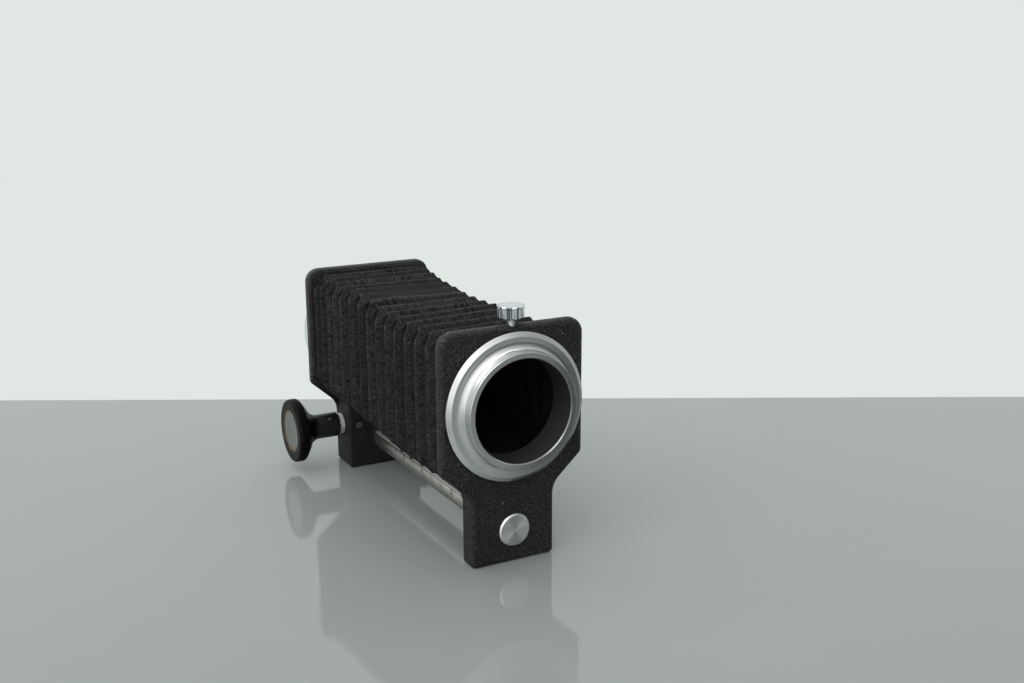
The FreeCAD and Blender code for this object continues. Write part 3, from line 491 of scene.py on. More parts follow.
def bellows_cloth():
    mat = Material("bellows_cloth")
    # u runs round the wall and v along it, in units of 100 mm
    cloth = mat.out("UVMap", uv_map="UVMap")
    u, v, _ = mat.split(cloth)
    wobble = (mat.noise(scale=60.0, at=cloth) - 0.5) * 0.004
    turn = 2 * math.pi * 100.0          # radians per unit of u or v, for a thread 1 mm wide
    warp = ((u + wobble) * (turn / 0.50)).math("SINE")
    weft = ((v + wobble) * (turn / 0.42)).math("SINE")
    weave = abs(warp) * 0.5 + abs(weft) * 0.5 + warp * weft * 0.25
    # ribs along the folds, broken ribs across them, and short ticks and dashes
    rib = mat.noise(scale=100.0, rough=0.6, at=mat.stretch(0.16, 0.95, 1.0, cloth))
    cross_rib = mat.noise(scale=100.0, rough=0.6, at=mat.stretch(1.15, 0.10, 1.0, cloth))
    tick = mat.noise(scale=100.0, detail=2.0, at=mat.stretch(0.55, 0.32, 1.0, cloth))
    dash = mat.noise(scale=100.0, detail=2.0, rough=0.6, at=mat.stretch(2.6, 0.45, 1.0, cloth))
    blot = mat.noise(scale=24.0, detail=5.0, rough=0.6, at=cloth)
    rubbing = mat.noise(scale=110.0, detail=4.0, rough=0.65, at=cloth)
    ridge, valley, inner, tone, pocket_shade = (
        mat.out("Attribute", output="Fac", attribute_name=name)
        for name in ("ridge", "valley", "inner", "tone", "pocket_shade"))

    base = mat.mix(weave.ramp(0.1, 1.1), (0.0154, 0.0162, 0.0177), (0.0302, 0.0314, 0.0338))
    # pattern, where it starts to show, where it is full, its strength, its colour
    for pattern, start, full, strength, colour in (
            (rib, 0.45, 0.64, 0.85, (0.046, 0.0470, 0.050)),
            (cross_rib, 0.50, 0.66, 0.78, (0.050, 0.0505, 0.054)),
            (dash, 0.56, 0.67, 0.90, (0.105, 0.106, 0.114)),
            (dash, 0.45, 0.32, 0.60, (0.0050, 0.0050, 0.0058)),
            (tick, 0.45, 0.28, 0.90, (0.0034, 0.0034, 0.0042)),
            (blot, 0.42, 0.70, 0.35, (0.034, 0.0330, 0.0325))):
        base = mat.mix(pattern.ramp(start, full, to=(0.0, strength)), base, colour)
    base = mat.mix(tone.ramp(-2.0, 1.0, to=(0.70, 0.0)), base, (0.0052, 0.0054, 0.0064))
    # painted shade: the top is coloured a little darker than the sides, the more it faces up
    normal_z = mat.split(mat.out("NewGeometry", output="Normal"))[2]
    base = mat.mix(normal_z.ramp(0.25, 0.80, to=(0.0, 0.12)), base, (0.0045, 0.0046, 0.0054))

    # pressed marks: dark on the top, rubbed light on the sides
    x, _, z = mat.split(mat.point)

    def band(across, centre, half):
        return abs(across - centre).ramp(half * 0.45, half, to=(1.0, 0.0))

    broken = mat.noise(scale=26.0, detail=2.0, at=mat.stretch(0.9, 3.6, 0.9)).ramp(0.47, 0.60)
    left_pair = band(x, -0.0156, half=0.0010).max(band(x, -0.0122, half=0.0010))
    right_pair = band(x, 0.0079, half=0.0010).max(band(x, 0.0109, half=0.0010))
    tops = left_pair.max(right_pair) * (z > 0.0842)
    upper = band(z, 0.0475, half=0.0007).max(band(z, 0.0725, half=0.0007))
    sides = band(z, 0.0500, half=0.0007).max(upper) * (abs(x) > 0.0205)
    calm = 1.0 - mat.math("MINIMUM", 1.0, ridge + valley * 0.6)
    base = mat.mix(tops * broken * (calm * 0.85), base, (0.0035, 0.0035, 0.0040))
    patches = mat.noise(scale=300.0, rough=0.6).ramp(0.42, 0.60, to=(0.0, 0.20))
    base = mat.mix(sides * broken * patches, base, (0.075, 0.074, 0.073))

    # painted highlight on the ridges, partly rubbed; painted shade in the valleys and side pockets;
    # and the lining
    rubbed_and_lit = ridge * rubbing.ramp(0.32, 0.64, to=(0.22, 1.0))
    base = mat.mix(rubbed_and_lit * 0.66, base, (0.092, 0.095, 0.098))
    base = mat.mix(valley * 0.66, base, (0.0032, 0.0033, 0.0042))
    base = mat.mix(pocket_shade * 0.85, base, (0.0015, 0.0015, 0.0020))
    lining = mat.mix(blot.ramp(0.4, 0.7), (0.0085, 0.0085, 0.009), (0.020, 0.018, 0.0155))
    base = mat.mix(inner, base, lining)
    relief = weave * 0.30 + rib * 1.3 + cross_rib * 0.9 + tick * 0.6 + dash * 0.8
    mat.surface(Base_Color=base, Roughness=weave.ramp(0.0, 1.2, to=(0.84, 0.68)), Metallic=0.0,
                Specular_IOR_Level=0.07,
                Normal=mat.bump(relief, distance=0.00036, strength=0.95))
    return mat.material


def ink():
    mat = Material("scale_ink")
    mottle = mat.noise(scale=1800.0, detail=4.0, rough=0.65)
    base = mat.mix(mottle.ramp(0.35, 0.68), (0.011, 0.011, 0.011), (0.10, 0.095, 0.085))
    mat.surface(Base_Color=base, Roughness=0.6,
                Normal=mat.bump(mottle, distance=0.00001, strength=0.5))
    return mat.material


# materials by slot name
SLOTS = {
    "crackle_paint": crackle_paint(),
    "nickel_rail": rail_metal(),
    "chrome": chrome("chrome", bright=(0.66, 0.715, 0.745), clouded=(0.46, 0.50, 0.52),
                     rough=0.09),
    "brass": metal("brass", light=(0.58, 0.42, 0.19), dark=(0.40, 0.28, 0.12), rough=0.32,
                   scale=260.0, brushed=(1, 14, 1)),
    "bronze": metal("bronze", light=(0.105, 0.082, 0.055), dark=(0.050, 0.042, 0.032),
                    rough=0.48, scale=300.0, brushed=(1, 10, 1)),
    "black_steel": black_steel(),
    "screw_steel": metal("screw_steel", light=(0.46, 0.46, 0.45), dark=(0.30, 0.30, 0.29),
                         rough=0.28, scale=700.0, brushed=(1, 1, 6)),
    "black_knob": black_knob(),
    "grey_disc": grey_disc(),
    "bellows_cloth": bellows_cloth(),
    "ink": ink(),
}
# materials of single pieces, used in place of their slot's
PIECES = {
    "front_mount_ring": front_ring_metal(),
    "rear_mount_ring": turned_metal("satin_aluminium_rear", LENS_CENTRE).material,
    "rail_cap": cap_metal(),
    "ring_thumb_screw": chrome("chrome_fluted", bright=(0.76, 0.81, 0.83),
                               clouded=(0.52, 0.56, 0.57), rough=0.10, fluted=True),
    "pinion_bearing_nut": bright_nut(),
    "bearing_set_screw": metal("dull_steel", light=(0.34, 0.34, 0.33), dark=(0.16, 0.16, 0.155),
                               rough=0.36, scale=700.0, brushed=(1, 1, 6), edge=0.25),
}
for name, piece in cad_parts.items():
    materials = piece.data.materials
    slot_name = materials[0].name.split(".")[0] if materials else "black_steel"
    material = PIECES.get(name) or SLOTS.get(slot_name) or SLOTS["black_steel"]
    materials.clear()
    materials.append(material)


def add_object(name, data):
    added = bpy.data.objects.new(name, data)
    bpy.context.scene.collection.objects.link(added)
    return added


def face_outwards(mesh):
    """Turn every face of a closed mesh outwards."""
    work = bmesh.new()
    work.from_mesh(mesh)
    bmesh.ops.recalc_face_normals(work, faces=work.faces)
    work.to_mesh(mesh)
    work.free()


# ------------------------------------------------------------------ bellows
LENGTH = 138.7
FRONT_Y = FOOT
REAR_Y = FRONT_Y + LENGTH
WALL = 0.6
END_RUN = 9.0                           # the cloth settles to a plain frame over this length
CUT_Y, CUT_RUN = 139.0, 4.0             # the rear end's corners are cut off from here on
CORNER_RADIUS = (0.9, 0.5)              # of the cloth and of its lining
CUT_CORNER = 5.0                        # added to the radius where the corner is cut off

# (y, half width or height from the lens axis to the ridges)
HALF_X = [(5.0, 26.9), (32.0, 26.9), (52.0, 27.1), (72.0, 27.1), (92.0, 27.2), (110.0, 28.0),
          (125.0, 28.8), (143.7, 29.3)]
HALF_TOP = [(5.0, 26.8), (27.0, 27.0), (47.0, 26.9), (67.0, 26.6), (77.0, 26.7), (86.8, 27.3),
            (97.0, 27.9), (107.0, 28.4), (115.5, 28.5), (123.2, 29.3), (130.2, 29.9),
            (143.7, 30.1)]
HALF_BOTTOM = [(5.0, 29.6), (15.0, 31.6), (25.0, 32.0), (58.0, 32.2), (74.0, 31.5), (90.0, 30.3),
               (101.0, 29.4), (121.0, 28.2), (130.0, 27.7), (143.7, 27.4)]
FRONT_BOTTOM, FRONT_BOTTOM_RUN = 26.8, 7.0      # the bottom starts in at this and drops to the table
# (y, how much higher the wall stands for each mm towards the right)
TWIST = [(5.0, 0.0), (16.0, 0.012), (27.0, 0.022), (37.0, 0.027), (50.0, 0.027), (57.0, 0.022),
         (67.0, 0.006), (77.0, -0.003), (86.8, -0.026), (107.0, -0.026), (115.5, -0.012),
         (123.2, 0.004), (130.2, 0.006), (143.7, 0.0)]

# y of the ridges; those on the top and bottom take turns with those on the sides
TOP_RIDGES = [17.0, 27.0, 36.8, 47.3, 57.0, 67.0, 77.0, 86.8, 97.0, 107.0, 115.5, 123.2, 130.2,
              137.4]
SIDE_RIDGES = [22.0, 32.0, 42.0, 52.2, 62.0, 71.8, 81.7, 91.0, 101.3, 111.1, 119.3, 126.7, 133.8,
               140.6]
FOLD = 5.7                                      # fold depth
SHALLOW = {91.0: 4.0, 101.3: 4.4, 140.6: 4.8}   # top valleys of less depth, by y
PULL_START, PULL_END = 86.8, 107.0              # the top between these ridges is pulled flat

# fold lines: (y, inset of the sides, inset of the top and bottom)
LINES = [(FRONT_Y, 0.8, 0.8), (11.5, 0.0, FOLD)]
for top_y, side_y in zip(TOP_RIDGES, SIDE_RIDGES):
    LINES.append((top_y, FOLD, 0.0))
    LINES.append((side_y, 0.0, SHALLOW.get(side_y, FOLD)))
LINES.append((REAR_Y - 0.1, 1.0, 1.2))          # just short of the rear frame, to clear it folded
LAST = len(LINES) - 1

SIDES, TOPS = 1, 2                      # columns of LINES
SOFT = {SIDES: 0.34, TOPS: 0.12}        # share of a leg taken up by the rounded fold
RIDGE_REACH = {SIDES: 0.20, TOPS: 0.11}     # share of a leg marked as ridge
VALLEY_REACH = {SIDES: 0.55, TOPS: 0.40}    # share of a leg marked as valley

# loops in each leg between two fold lines, as shares of the leg
STEPS = [0.0, 0.04, 0.085, 0.14, 0.21, 0.34, 0.5, 0.66, 0.79, 0.86, 0.915, 0.96]
SIDE_STEPS, CORNER_STEPS = 22, 3
# the four sides in turn, seen from the front: signs of the starting corner, direction of travel
TOP, LEFT, BOTTOM, RIGHT = range(4)
CORNERS = [(1, 1), (-1, 1), (-1, -1), (1, -1)]
HEADINGS = [(-1, 0), (0, -1), (1, 0), (0, 1)]
SIDE_U = 60.0                           # u set aside for each side, mm


def along(table, y):
    """Straight-line reading of a (y, value) table."""
    for (y_start, start), (y_end, end) in zip(table, table[1:]):
        if y <= y_end:
            share = (y - y_start) / (y_end - y_start)
            return start + (end - start) * share
    return table[-1][1]


def ease(share):
    return share * share * (3 - 2 * share)


def smooth_noise(rng, period):
    """Smooth value noise in -1..1, as a repeating function of a real number."""
    values = [rng.uniform(-1, 1) for _ in range(period + 4)]

    def noise(place):
        place = place % period
        cell = int(place)
        share = ease(place - cell)
        return values[cell] * (1 - share) + values[(cell + 1) % period] * share
    return noise


# unevenness, one entry for each side
rng = random.Random(41)
WAVE = [smooth_noise(rng, 9) for _ in range(4)]
RIPPLE = [smooth_noise(rng, 17) for _ in range(4)]
LEAN = [smooth_noise(rng, 8) for _ in range(4)]
LINE_SHIFT = [[rng.uniform(-1, 1) for _ in LINES] for _ in range(4)]
LINE_TONE = [[rng.uniform(-1, 1) for _ in LINES] for _ in range(4)]


def between(values, leg, share):
    """Value part way along a leg, from values at the fold lines."""
    return values[leg] * (1 - share) + values[min(leg + 1, LAST)] * share


def fold_inset(leg, share, column):
    """Inset part way along a leg, with a rounded fold at each line."""
    start = LINES[leg][column]
    if leg == LAST:
        return start
    end = LINES[leg + 1][column]
    slope = end - start
    inset = start + slope * share
    soft = SOFT[column]
    if share < soft and leg > 0:
        bend = start - LINES[leg - 1][column] - slope
        inset -= 0.25 * soft * bend * ((soft - share) / soft) ** 2
    if share > 1 - soft and leg + 2 <= LAST:
        bend = slope - (LINES[leg + 2][column] - end)
        inset -= 0.25 * soft * bend * ((share - (1 - soft)) / soft) ** 2
    return inset


def crease(leg, share, column, valley=False):
    """1 on a line where the wall stands out, or is folded in for a valley; 0 away from it."""
    reach = (VALLEY_REACH if valley else RIDGE_REACH)[column]
    strength = 0.0
    for line, distance in ((leg, share), (leg + 1, 1 - share)):
        if 0 < line < LAST:
            inset = LINES[line][column]
            if (inset > FOLD - 0.5) if valley else (inset < 0.5):
                strength = max(strength, 1.0 - distance / reach)
    return strength


def flat_pull(y, folded):
    """How far the top is lifted from its folded height where it is pulled flat."""
    if not PULL_START < y < PULL_END:
        return 0.0
    share = (y - PULL_START) / (PULL_END - PULL_START)
    flat = along(HALF_TOP, PULL_START) * (1 - share) + along(HALF_TOP, PULL_END) * share
    flat -= 0.35 * math.sin(math.pi * share)
    flat += 0.16 * math.sin(3 * math.pi * share)
    return flat - folded


class Section:
    """One loop round the bellows at y, of the cloth or of its lining.

    Points are (x, y, z, u, ridge, valley, tone, pocket) in mm, with z from the lens axis.
    """

    def __init__(self, leg, share, y, lining):
        self.leg, self.share, self.y = leg, share, y
        inset_z = fold_inset(leg, share, TOPS)
        top, bottom = along(HALF_TOP, y), along(HALF_BOTTOM, y)
        if y < FRONT_Y + FRONT_BOTTOM_RUN:
            drop = max(0.0, (y - FRONT_Y) / FRONT_BOTTOM_RUN)
            bottom = FRONT_BOTTOM + (bottom - FRONT_BOTTOM) * drop
        self.cut = min(1.0, max(0.0, (y - CUT_Y) / CUT_RUN))
        self.free = max(0.0, min(1.0, (y - FRONT_Y) / END_RUN, (REAR_Y - y) / END_RUN))
        self.pull = flat_pull(y, top - inset_z)
        wall = WALL if lining else 0.0
        self.half_x = along(HALF_X, y) + 0.62 * self.free - fold_inset(leg, share, SIDES) - wall
        self.up = top - inset_z - wall
        self.down = bottom - inset_z - wall
        self.radius = CORNER_RADIUS[lining] + CUT_CORNER * self.cut

    def corner(self, side):
        """Sharp corner where a side starts."""
        sign_x, sign_z = CORNERS[side % 4]
        return sign_x * self.half_x, self.up if sign_z > 0 else -self.down

    def length(self, side):
        return math.dist(self.corner(side), self.corner(side + 1))

    def bulge(self, side, place):
        """Unevenness outwards, and a gentle bow of each panel between its folds."""
        y = self.y
        bulge = 0.16 * WAVE[side](place * 5 + y * 0.21) + 0.07 * RIPPLE[side](place * 11 + y * 0.63)
        bow = 0.14 * math.sin(math.pi * self.share)
        if side == TOP:
            return bulge + 0.5 * bow
        if side == BOTTOM:
            return 0.4 * bulge - 0.05           # the bottom lies just above the block
        return bulge + 0.10 + bow

    def side_points(self, side):
        leg, share, y = self.leg, self.share, self.y
        column = TOPS if side in (TOP, BOTTOM) else SIDES
        start_x, start_z = self.corner(side)
        head_x, head_z = HEADINGS[side]
        next_x, next_z = HEADINGS[(side + 1) % 4]       # points inwards from this side
        length = self.length(side)
        for step in range(SIDE_STEPS + 1):
            place = step / SIDE_STEPS
            place = 0.55 * place + 0.45 * ease(place)
            run = self.radius + (length - 2 * self.radius) * place
            middle = math.sin(math.pi * place)
            loose = middle ** 0.6 * self.free
            bulge = self.bulge(side, place)
            lift = 0.0
            if self.pull and side == TOP:
                # the pull fades out towards the left corner, and quickly at the right one
                hold = min(1.0, max(0.0, (0.97 - place) / 0.34), place / 0.15)
                lift = self.pull * ease(hold)
                bulge *= 0.5
            shift = 0.30 * LEAN[side](place * 3 + leg * 0.5)
            shift += 0.22 * between(LINE_SHIFT[side], leg, share) * middle
            ridge = crease(leg, share, column) * (1.0 if 0.02 < place < 0.98 else 0.7)
            valley = crease(leg, share, column, valley=True)
            if lift and PULL_START + 1.5 < y < PULL_END - 1.5:
                flatness = min(1.0, abs(lift / self.pull))
                ridge *= 1.0 - 0.85 * flatness
                valley *= 1.0 - 0.95 * flatness
            pocket_shade = 0.0
            if column == SIDES:
                # on the sides the painted ridge highlight only shows close to the top corner, and
                # the pockets get painted shade there
                rise = place if side == RIGHT else 1.0 - place
                ridge *= 0.02 + 0.98 * max(0.0, (rise - 0.90) / 0.10)
                pocket_shade = valley * max(0.0, (rise - 0.80) / 0.20)
            tone = LINE_TONE[side][leg]
            if share > 0.8:
                tone = between(LINE_TONE[side], leg, share)
            if lift:
                tone += (-2.0 - tone) * hold * hold
            yield (start_x + head_x * run - next_x * bulge * loose,
                   y + shift * loose,
                   start_z + head_z * run - next_z * bulge * loose + lift,
                   SIDE_U * side + run - length / 2, ridge, valley, tone, pocket_shade)

    def corner_points(self, side):
        """The rounded, or cut off, corner at the end of a side."""
        end_x, end_z = self.corner(side + 1)
        head_x, head_z = HEADINGS[side]
        next_x, next_z = HEADINGS[(side + 1) % 4]
        radius, cut = self.radius, self.cut
        from_x, from_z = end_x - head_x * radius, end_z - head_z * radius
        to_x, to_z = end_x + next_x * radius, end_z + next_z * radius
        centre_x, centre_z = from_x + next_x * radius, from_z + next_z * radius
        # painted highlight along the corner creases
        ridge = 0.8 * max(crease(self.leg, self.share, column) for column in (SIDES, TOPS))
        if 0 < self.leg < LAST - 1:
            ridge = max(ridge, 0.45)
        for step in range(1, CORNER_STEPS + 1):
            share = step / (CORNER_STEPS + 1)
            angle = math.pi / 2 * share
            back, ahead = radius * math.cos(angle), radius * math.sin(angle)
            x = centre_x - next_x * back + head_x * ahead
            z = centre_z - next_z * back + head_z * ahead
            yield (x * (1 - cut) + (from_x + (to_x - from_x) * share) * cut,
                   self.y,
                   z * (1 - cut) + (from_z + (to_z - from_z) * share) * cut,
                   SIDE_U * side + self.length(side) / 2, ridge, 0.0, 0.0, 0.0)

    def points(self):
        for side in range(4):
            yield from self.side_points(side)
            yield from self.corner_points(side)


def bellows_faces(cloth, lining):
    """Faces of both shells and of the two end rims, from lists of loops of vertex numbers."""
    faces = []
    count = len(cloth[0])
    for row in range(len(cloth) - 1):
        for i in range(count):
            j = (i + 1) % count
            near, far = cloth[row], cloth[row + 1]
            faces.append((near[i], far[i], far[j], near[j]))
            near, far = lining[row], lining[row + 1]
            faces.append((near[i], near[j], far[j], far[i]))
    for row, turn in ((0, 1), (-1, -1)):
        outer, inner = cloth[row], lining[row]
        for i in range(count):
            j = (i + 1) % count
            faces.append((outer[i], outer[j], inner[j], inner[i])[::turn])
    return faces


def make_bellows():
    stations = [(leg, share, start[0] + (end[0] - start[0]) * share)
                for leg, (start, end) in enumerate(zip(LINES, LINES[1:])) for share in STEPS]
    stations.append((LAST, 0.0, LINES[LAST][0]))
    verts, uvs = [], []
    values = {name: [] for name in ("ridge", "valley", "inner", "tone", "pocket_shade")}
    loops = ([], [])
    run = 0.0                           # length of cloth so far, measured along the sides
    before = None
    for leg, share, y in stations:
        here = (y, fold_inset(leg, share, SIDES))
        if before:
            run += math.dist(here, before)
        before = here
        twist = along(TWIST, y)
        for lining in (0, 1):
            first = len(verts)
            section = Section(leg, share, y, lining)
            for px, py, pz, u, ridge, valley, tone, pocket_shade in section.points():
                verts.append((px * MM, (py - FOOT) * MM, (pz + twist * px + AXIS_Z) * MM))
                uvs.append((u / 100.0 + lining * 3.0, run / 100.0))
                values["inner"].append(float(lining))
                marks = {"ridge": ridge, "valley": valley, "tone": tone, "pocket_shade": pocket_shade}
                for name, value in marks.items():
                    values[name].append(0.0 if lining else value)
            loops[lining].append(range(first, len(verts)))

    mesh = bpy.data.meshes.new("bellows_fabric")
    mesh.from_pydata(verts, [], bellows_faces(*loops))
    flat_uvs = []
    for polygon in mesh.polygons:
        corners = [uvs[vertex] for vertex in polygon.vertices]
        high = max(u for u, _ in corners)
        for u, v in corners:
            # a face across a jump in u takes the high side
            flat_uvs += [high if high - u > 0.5 else u, v]
    mesh.uv_layers.new(name="UVMap").data.foreach_set("uv", flat_uvs)
    for name, numbers in values.items():
        mesh.attributes.new(name, "FLOAT", "POINT").data.foreach_set("value", numbers)
    mesh.polygons.foreach_set("use_smooth", [True] * len(mesh.polygons))
    mesh.materials.append(SLOTS["bellows_cloth"])
    mesh.update()
    face_outwards(mesh)
    return add_object("bellows_fabric", mesh)


bellows = make_bellows()
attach(bellows, "front")
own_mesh(bellows)
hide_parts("bellows")


# ------------------------------------------------------------------ scale on the rail
# The scale is drawn flat: u along the rail from the front face, s up the rail's left side.
INLAY_RADIUS = 5.95
INLAY_TOP, INLAY_BOTTOM = 0.012, -0.05      # heights of the inlay's faces over that radius
FIRST_TICK, MID_TICK, TICK_PITCH = 13.5, 18.5, 10.0
TICK_FOOT, TICK_HEAD, MID_HEAD = -2.3, 1.6, -0.3    # s of the ends of the ticks
DIGIT_WIDTH = 1.15                          # scale of the digit grid
DIGIT_PITCH = DIGIT_WIDTH * 1.35
DIGIT_U, DIGIT_S = 0.75, 0.55               # the number's corner, from its tick and in s
STROKE = 0.24

# digits drawn as one stroke each on a 0..1 by 0..1.6 grid
STROKES = {
    "1": [(0.25, 1.2), (0.55, 1.6), (0.55, 0.0)],
    "2": [(0.0, 1.3), (0.25, 1.6), (0.75, 1.6), (1.0, 1.25), (0.0, 0.0), (1.0, 0.0)],
    "3": [(0.0, 1.45), (0.4, 1.6), (0.9, 1.4), (0.85, 1.0), (0.45, 0.85), (0.9, 0.65),
          (0.95, 0.2), (0.45, 0.0), (0.0, 0.15)],
    "4": [(0.75, 0.0), (0.75, 1.6), (0.0, 0.5), (1.0, 0.5)],
    "5": [(0.95, 1.6), (0.1, 1.6), (0.05, 0.9), (0.6, 1.0), (0.98, 0.6), (0.8, 0.1),
          (0.35, 0.0), (0.0, 0.15)],
    "6": [(0.85, 1.6), (0.3, 1.2), (0.0, 0.55), (0.2, 0.08), (0.65, 0.0), (0.98, 0.35),
          (0.8, 0.8), (0.35, 0.85), (0.05, 0.5)],
    "7": [(0.0, 1.6), (1.0, 1.6), (0.35, 0.0)],
    "8": [(0.5, 0.85), (0.1, 1.15), (0.25, 1.55), (0.75, 1.55), (0.9, 1.15), (0.5, 0.85),
          (0.05, 0.5), (0.2, 0.05), (0.8, 0.05), (0.95, 0.5), (0.5, 0.85)],
    "9": [(0.15, 0.0), (0.7, 0.4), (1.0, 1.05), (0.8, 1.52), (0.35, 1.6), (0.02, 1.25),
          (0.2, 0.8), (0.65, 0.75), (0.95, 1.1)],
    "0": [(0.5, 0.0), (0.1, 0.3), (0.05, 1.2), (0.5, 1.6), (0.95, 1.2), (0.9, 0.3), (0.5, 0.0)],
}


def wrap(u, s, lift):
    """Point on the rail's left side, in metres."""
    radius = INLAY_RADIUS + lift
    angle = s / INLAY_RADIUS
    return (-radius * math.cos(angle) * MM, (u - FOOT) * MM,
            (RAIL_Z + radius * math.sin(angle)) * MM)


def make_inlay(name, polygons):
    """Thin inlay of closed (u, s) polygons, each given a hair of thickness."""
    verts, faces = [], []
    for polygon in polygons:
        count = len(polygon)
        top = range(len(verts), len(verts) + count)
        bottom = range(top.stop, top.stop + count)
        for lift in (INLAY_TOP, INLAY_BOTTOM):
            verts += [wrap(u, s, lift) for u, s in polygon]
        faces.append(tuple(top))
        faces.append(tuple(reversed(bottom)))
        for i in range(count):
            j = (i + 1) % count
            faces.append((top[i], bottom[i], bottom[j], top[j]))
    mesh = bpy.data.meshes.new(name)
    mesh.from_pydata(verts, [], faces)
    mesh.update()
    face_outwards(mesh)
    mesh.materials.append(SLOTS["ink"])
    return add_object(name, mesh)


def tick_quads(u, half, head, count):
    """A tick as a strip of quads, so that it bends round the rail."""
    levels = [TICK_FOOT + (head - TICK_FOOT) * i / count for i in range(count + 1)]
    return [[(u - half, low), (u + half, low), (u + half, high), (u - half, high)]
            for low, high in zip(levels, levels[1:])]


def stroke_quads(points):
    """A quad for each leg of a stroke, drawn out a little at both ends."""
    quads = []
    for (x0, y0), (x1, y1) in zip(points, points[1:]):
        length = math.hypot(x1 - x0, y1 - y0)
        along_x, along_y = (x1 - x0) / length, (y1 - y0) / length
        over_x, over_y = along_x * STROKE * 0.35, along_y * STROKE * 0.35
        x0, y0, x1, y1 = x0 - over_x, y0 - over_y, x1 + over_x, y1 + over_y
        side_x, side_y = -along_y * STROKE / 2, along_x * STROKE / 2
        quads.append([(x0 + side_x, y0 + side_y), (x1 + side_x, y1 + side_y),
                      (x1 - side_x, y1 - side_y), (x0 - side_x, y0 - side_y)])
    return quads


def number_quads(text, tick_u):
    """A number beside its tick, read from the left side, where +u runs to the reader's left."""
    quads = []
    for place, character in enumerate(text):
        offset = (len(text) - 1 - place) * DIGIT_PITCH
        for quad in stroke_quads(STROKES[character]):
            quads.append([(tick_u + DIGIT_U + offset + (1 - x) * DIGIT_WIDTH,
                           DIGIT_S + y * DIGIT_WIDTH) for x, y in quad])
    return quads


ticks, digits = [], []
for k in range(12):
    tick_u = FIRST_TICK + TICK_PITCH * k
    ticks += tick_quads(tick_u, half=0.11, head=TICK_HEAD, count=6)
    if k > 0:
        digits += number_quads(str(k), tick_u)
for k in range(11):
    ticks += tick_quads(MID_TICK + TICK_PITCH * k, half=0.07, head=MID_HEAD, count=4)
for name, polygons in (("rail_scale_ticks", ticks), ("rail_scale_digits", digits)):
    inlay = make_inlay(name, polygons)
    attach(inlay, "front")


# ------------------------------------------------------------------ floor
AZIMUTH, ELEVATION, ROLL = math.radians(-28.501), math.radians(14.192), math.radians(-0.199)
CAMERA = Vector((-0.2080, -0.3869, 0.1992))
AHEAD = (math.sin(-AZIMUTH), math.cos(-AZIMUTH), 0.0)   # the camera's level view direction
SKY = (0.752, 0.800, 0.770)
# distance of the table's far edge along AHEAD, from the origin
TABLE_EDGE = CAMERA.x * AHEAD[0] + CAMERA.y * AHEAD[1] + 0.6549
EDGE_BLUR = 0.0006
FLOOR_HALF, FLOOR_Z = 6.0, -0.0002


def floor_pale():
    """A pale, glossy table top that turns into the backdrop beyond its far edge."""
    mat = Material("floor_pale")
    mottle = mat.noise(scale=3.0, detail=5.0, rough=0.55)
    base = mat.mix(mottle.ramp(0.3, 0.7), (0.250, 0.275, 0.270), (0.268, 0.292, 0.286))
    mat.surface(Base_Color=base, Roughness=0.07, Specular_IOR_Level=0.5)
    beyond = mat.dot(mat.point, AHEAD).ramp(TABLE_EDGE - EDGE_BLUR, TABLE_EDGE + EDGE_BLUR)
    table = Value(mat, mat.shader.outputs[0])
    backdrop = mat.out("Emission", {0: SKY})
    mat.put(mat.output.inputs[0], mat.out("MixShader", {0: beyond, 1: table, 2: backdrop}))
    return mat.material


def make_floor():
    material = floor_pale()
    mesh = bpy.data.meshes.new("floor")
    corners = [(x * FLOOR_HALF, y * FLOOR_HALF, FLOOR_Z)
               for x, y in ((-1, -1), (1, -1), (1, 1), (-1, 1))]
    mesh.from_pydata(corners, [], [(0, 1, 2, 3)])
    mesh.materials.append(material)
    add_object("floor", mesh)


make_floor()


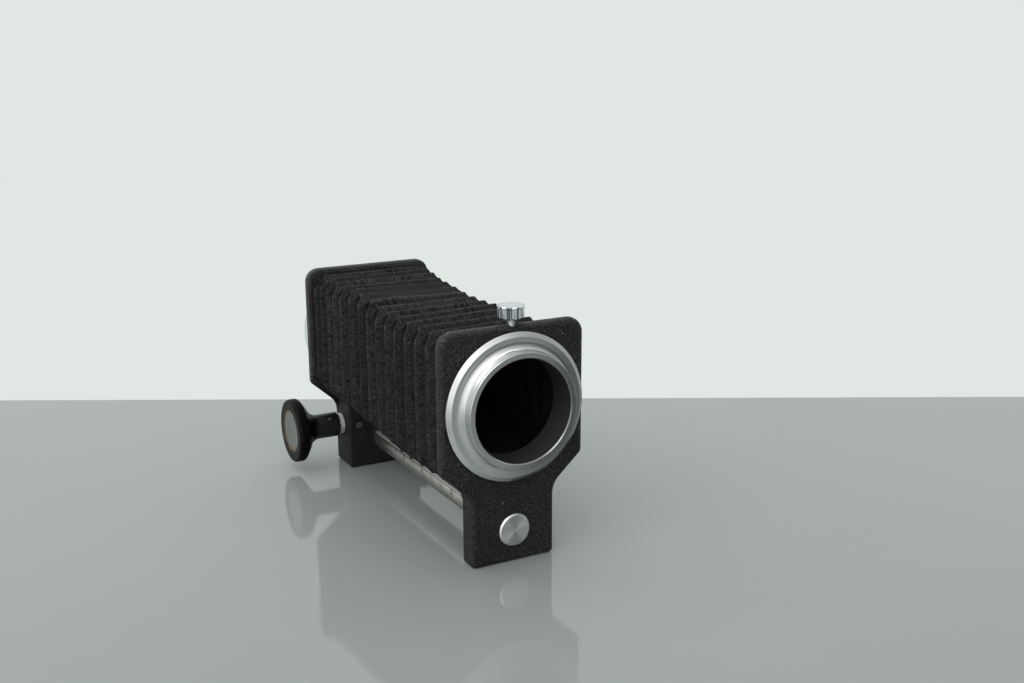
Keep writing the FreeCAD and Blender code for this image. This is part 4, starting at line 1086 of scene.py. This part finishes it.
# ------------------------------------------------------------------ world and lights
def make_world():
    """Dim at the front right, white behind, brightest at the upper left front."""
    world = bpy.data.worlds.new("studio")
    bpy.context.scene.world = world
    world.use_nodes = True
    sky = Graph(world.node_tree)

    def toward(direction, start, full):
        """0 to 1 as a ray turns towards a direction."""
        ray = sky.out("TexCoord", output="Generated")
        return sky.dot(ray, Vector(direction).normalized()).ramp(start, full, smooth=True)

    light = sky.mix(toward(AHEAD, start=-0.15, full=0.50), (0.085, 0.093, 0.094), SKY)
    light = sky.mix(toward((0.0, 0.0, 1.0), start=0.25, full=1.0), light, (0.62, 0.65, 0.65))
    light = sky.mix(toward((-0.74, -0.50, 0.45), start=0.15, full=0.90), light,
                    (1.20, 1.21, 1.19))
    # the camera itself sees the plain backdrop
    seen = sky.out("LightPath", output="Is Camera Ray")
    lit = sky.out("Background", {0: light, 1: 1.0})
    plain = sky.out("Background", {0: SKY, 1: 1.0})
    sky.node("OutputWorld", {0: sky.out("MixShader", {0: seen, 1: lit, 2: plain})})


def area(name, place, size, power, colour):
    """A rectangular light of (width, height), turned to the middle of the object."""
    light = bpy.data.lights.new(name, "AREA")
    light.energy = power
    light.color = colour
    light.shape = "RECTANGLE"
    light.size, light.size_y = size
    lamp = add_object(name, light)
    lamp.location = place
    aim = Vector((0.0, 0.07, 0.05)) - Vector(place)
    lamp.rotation_euler = aim.to_track_quat("-Z", "Y").to_euler()


make_world()
area("key", place=(-0.62, -0.40, 0.92), size=(0.90, 0.80), power=4.2, colour=(1.0, 0.995, 0.98))
area("fill", place=(0.75, -0.65, 0.40), size=(0.60, 0.50), power=0.12, colour=(0.94, 0.98, 1.0))
area("top", place=(0.05, 0.30, 0.95), size=(0.80, 0.80), power=3.2, colour=(0.97, 0.99, 1.0))
area("back", place=(-0.55, 0.95, 0.45), size=(0.80, 0.50), power=0.8, colour=(0.97, 1.0, 1.0))


# ------------------------------------------------------------------ camera
def make_camera():
    back = Vector((math.sin(AZIMUTH) * math.cos(ELEVATION),
                   -math.cos(AZIMUTH) * math.cos(ELEVATION), math.sin(ELEVATION)))
    right = Vector((0, 0, 1)).cross(back).normalized()
    up = back.cross(right)
    right, up = (right * math.cos(ROLL) + up * math.sin(ROLL),
                 up * math.cos(ROLL) - right * math.sin(ROLL))
    lens = bpy.data.cameras.new("camera")
    lens.lens = 41.88
    lens.sensor_width = 36.0
    lens.sensor_fit = "HORIZONTAL"
    lens.clip_start = 0.01
    lens.clip_end = 50.0
    camera = add_object("camera", lens)
    rows = [(right[i], up[i], back[i], CAMERA[i]) for i in range(3)]
    camera.matrix_world = Matrix((*rows, (0, 0, 0, 1)))
    bpy.context.scene.camera = camera


make_camera()
bpy.context.scene.view_settings.view_transform = "Standard"
bpy.context.scene.view_settings.look = "None"
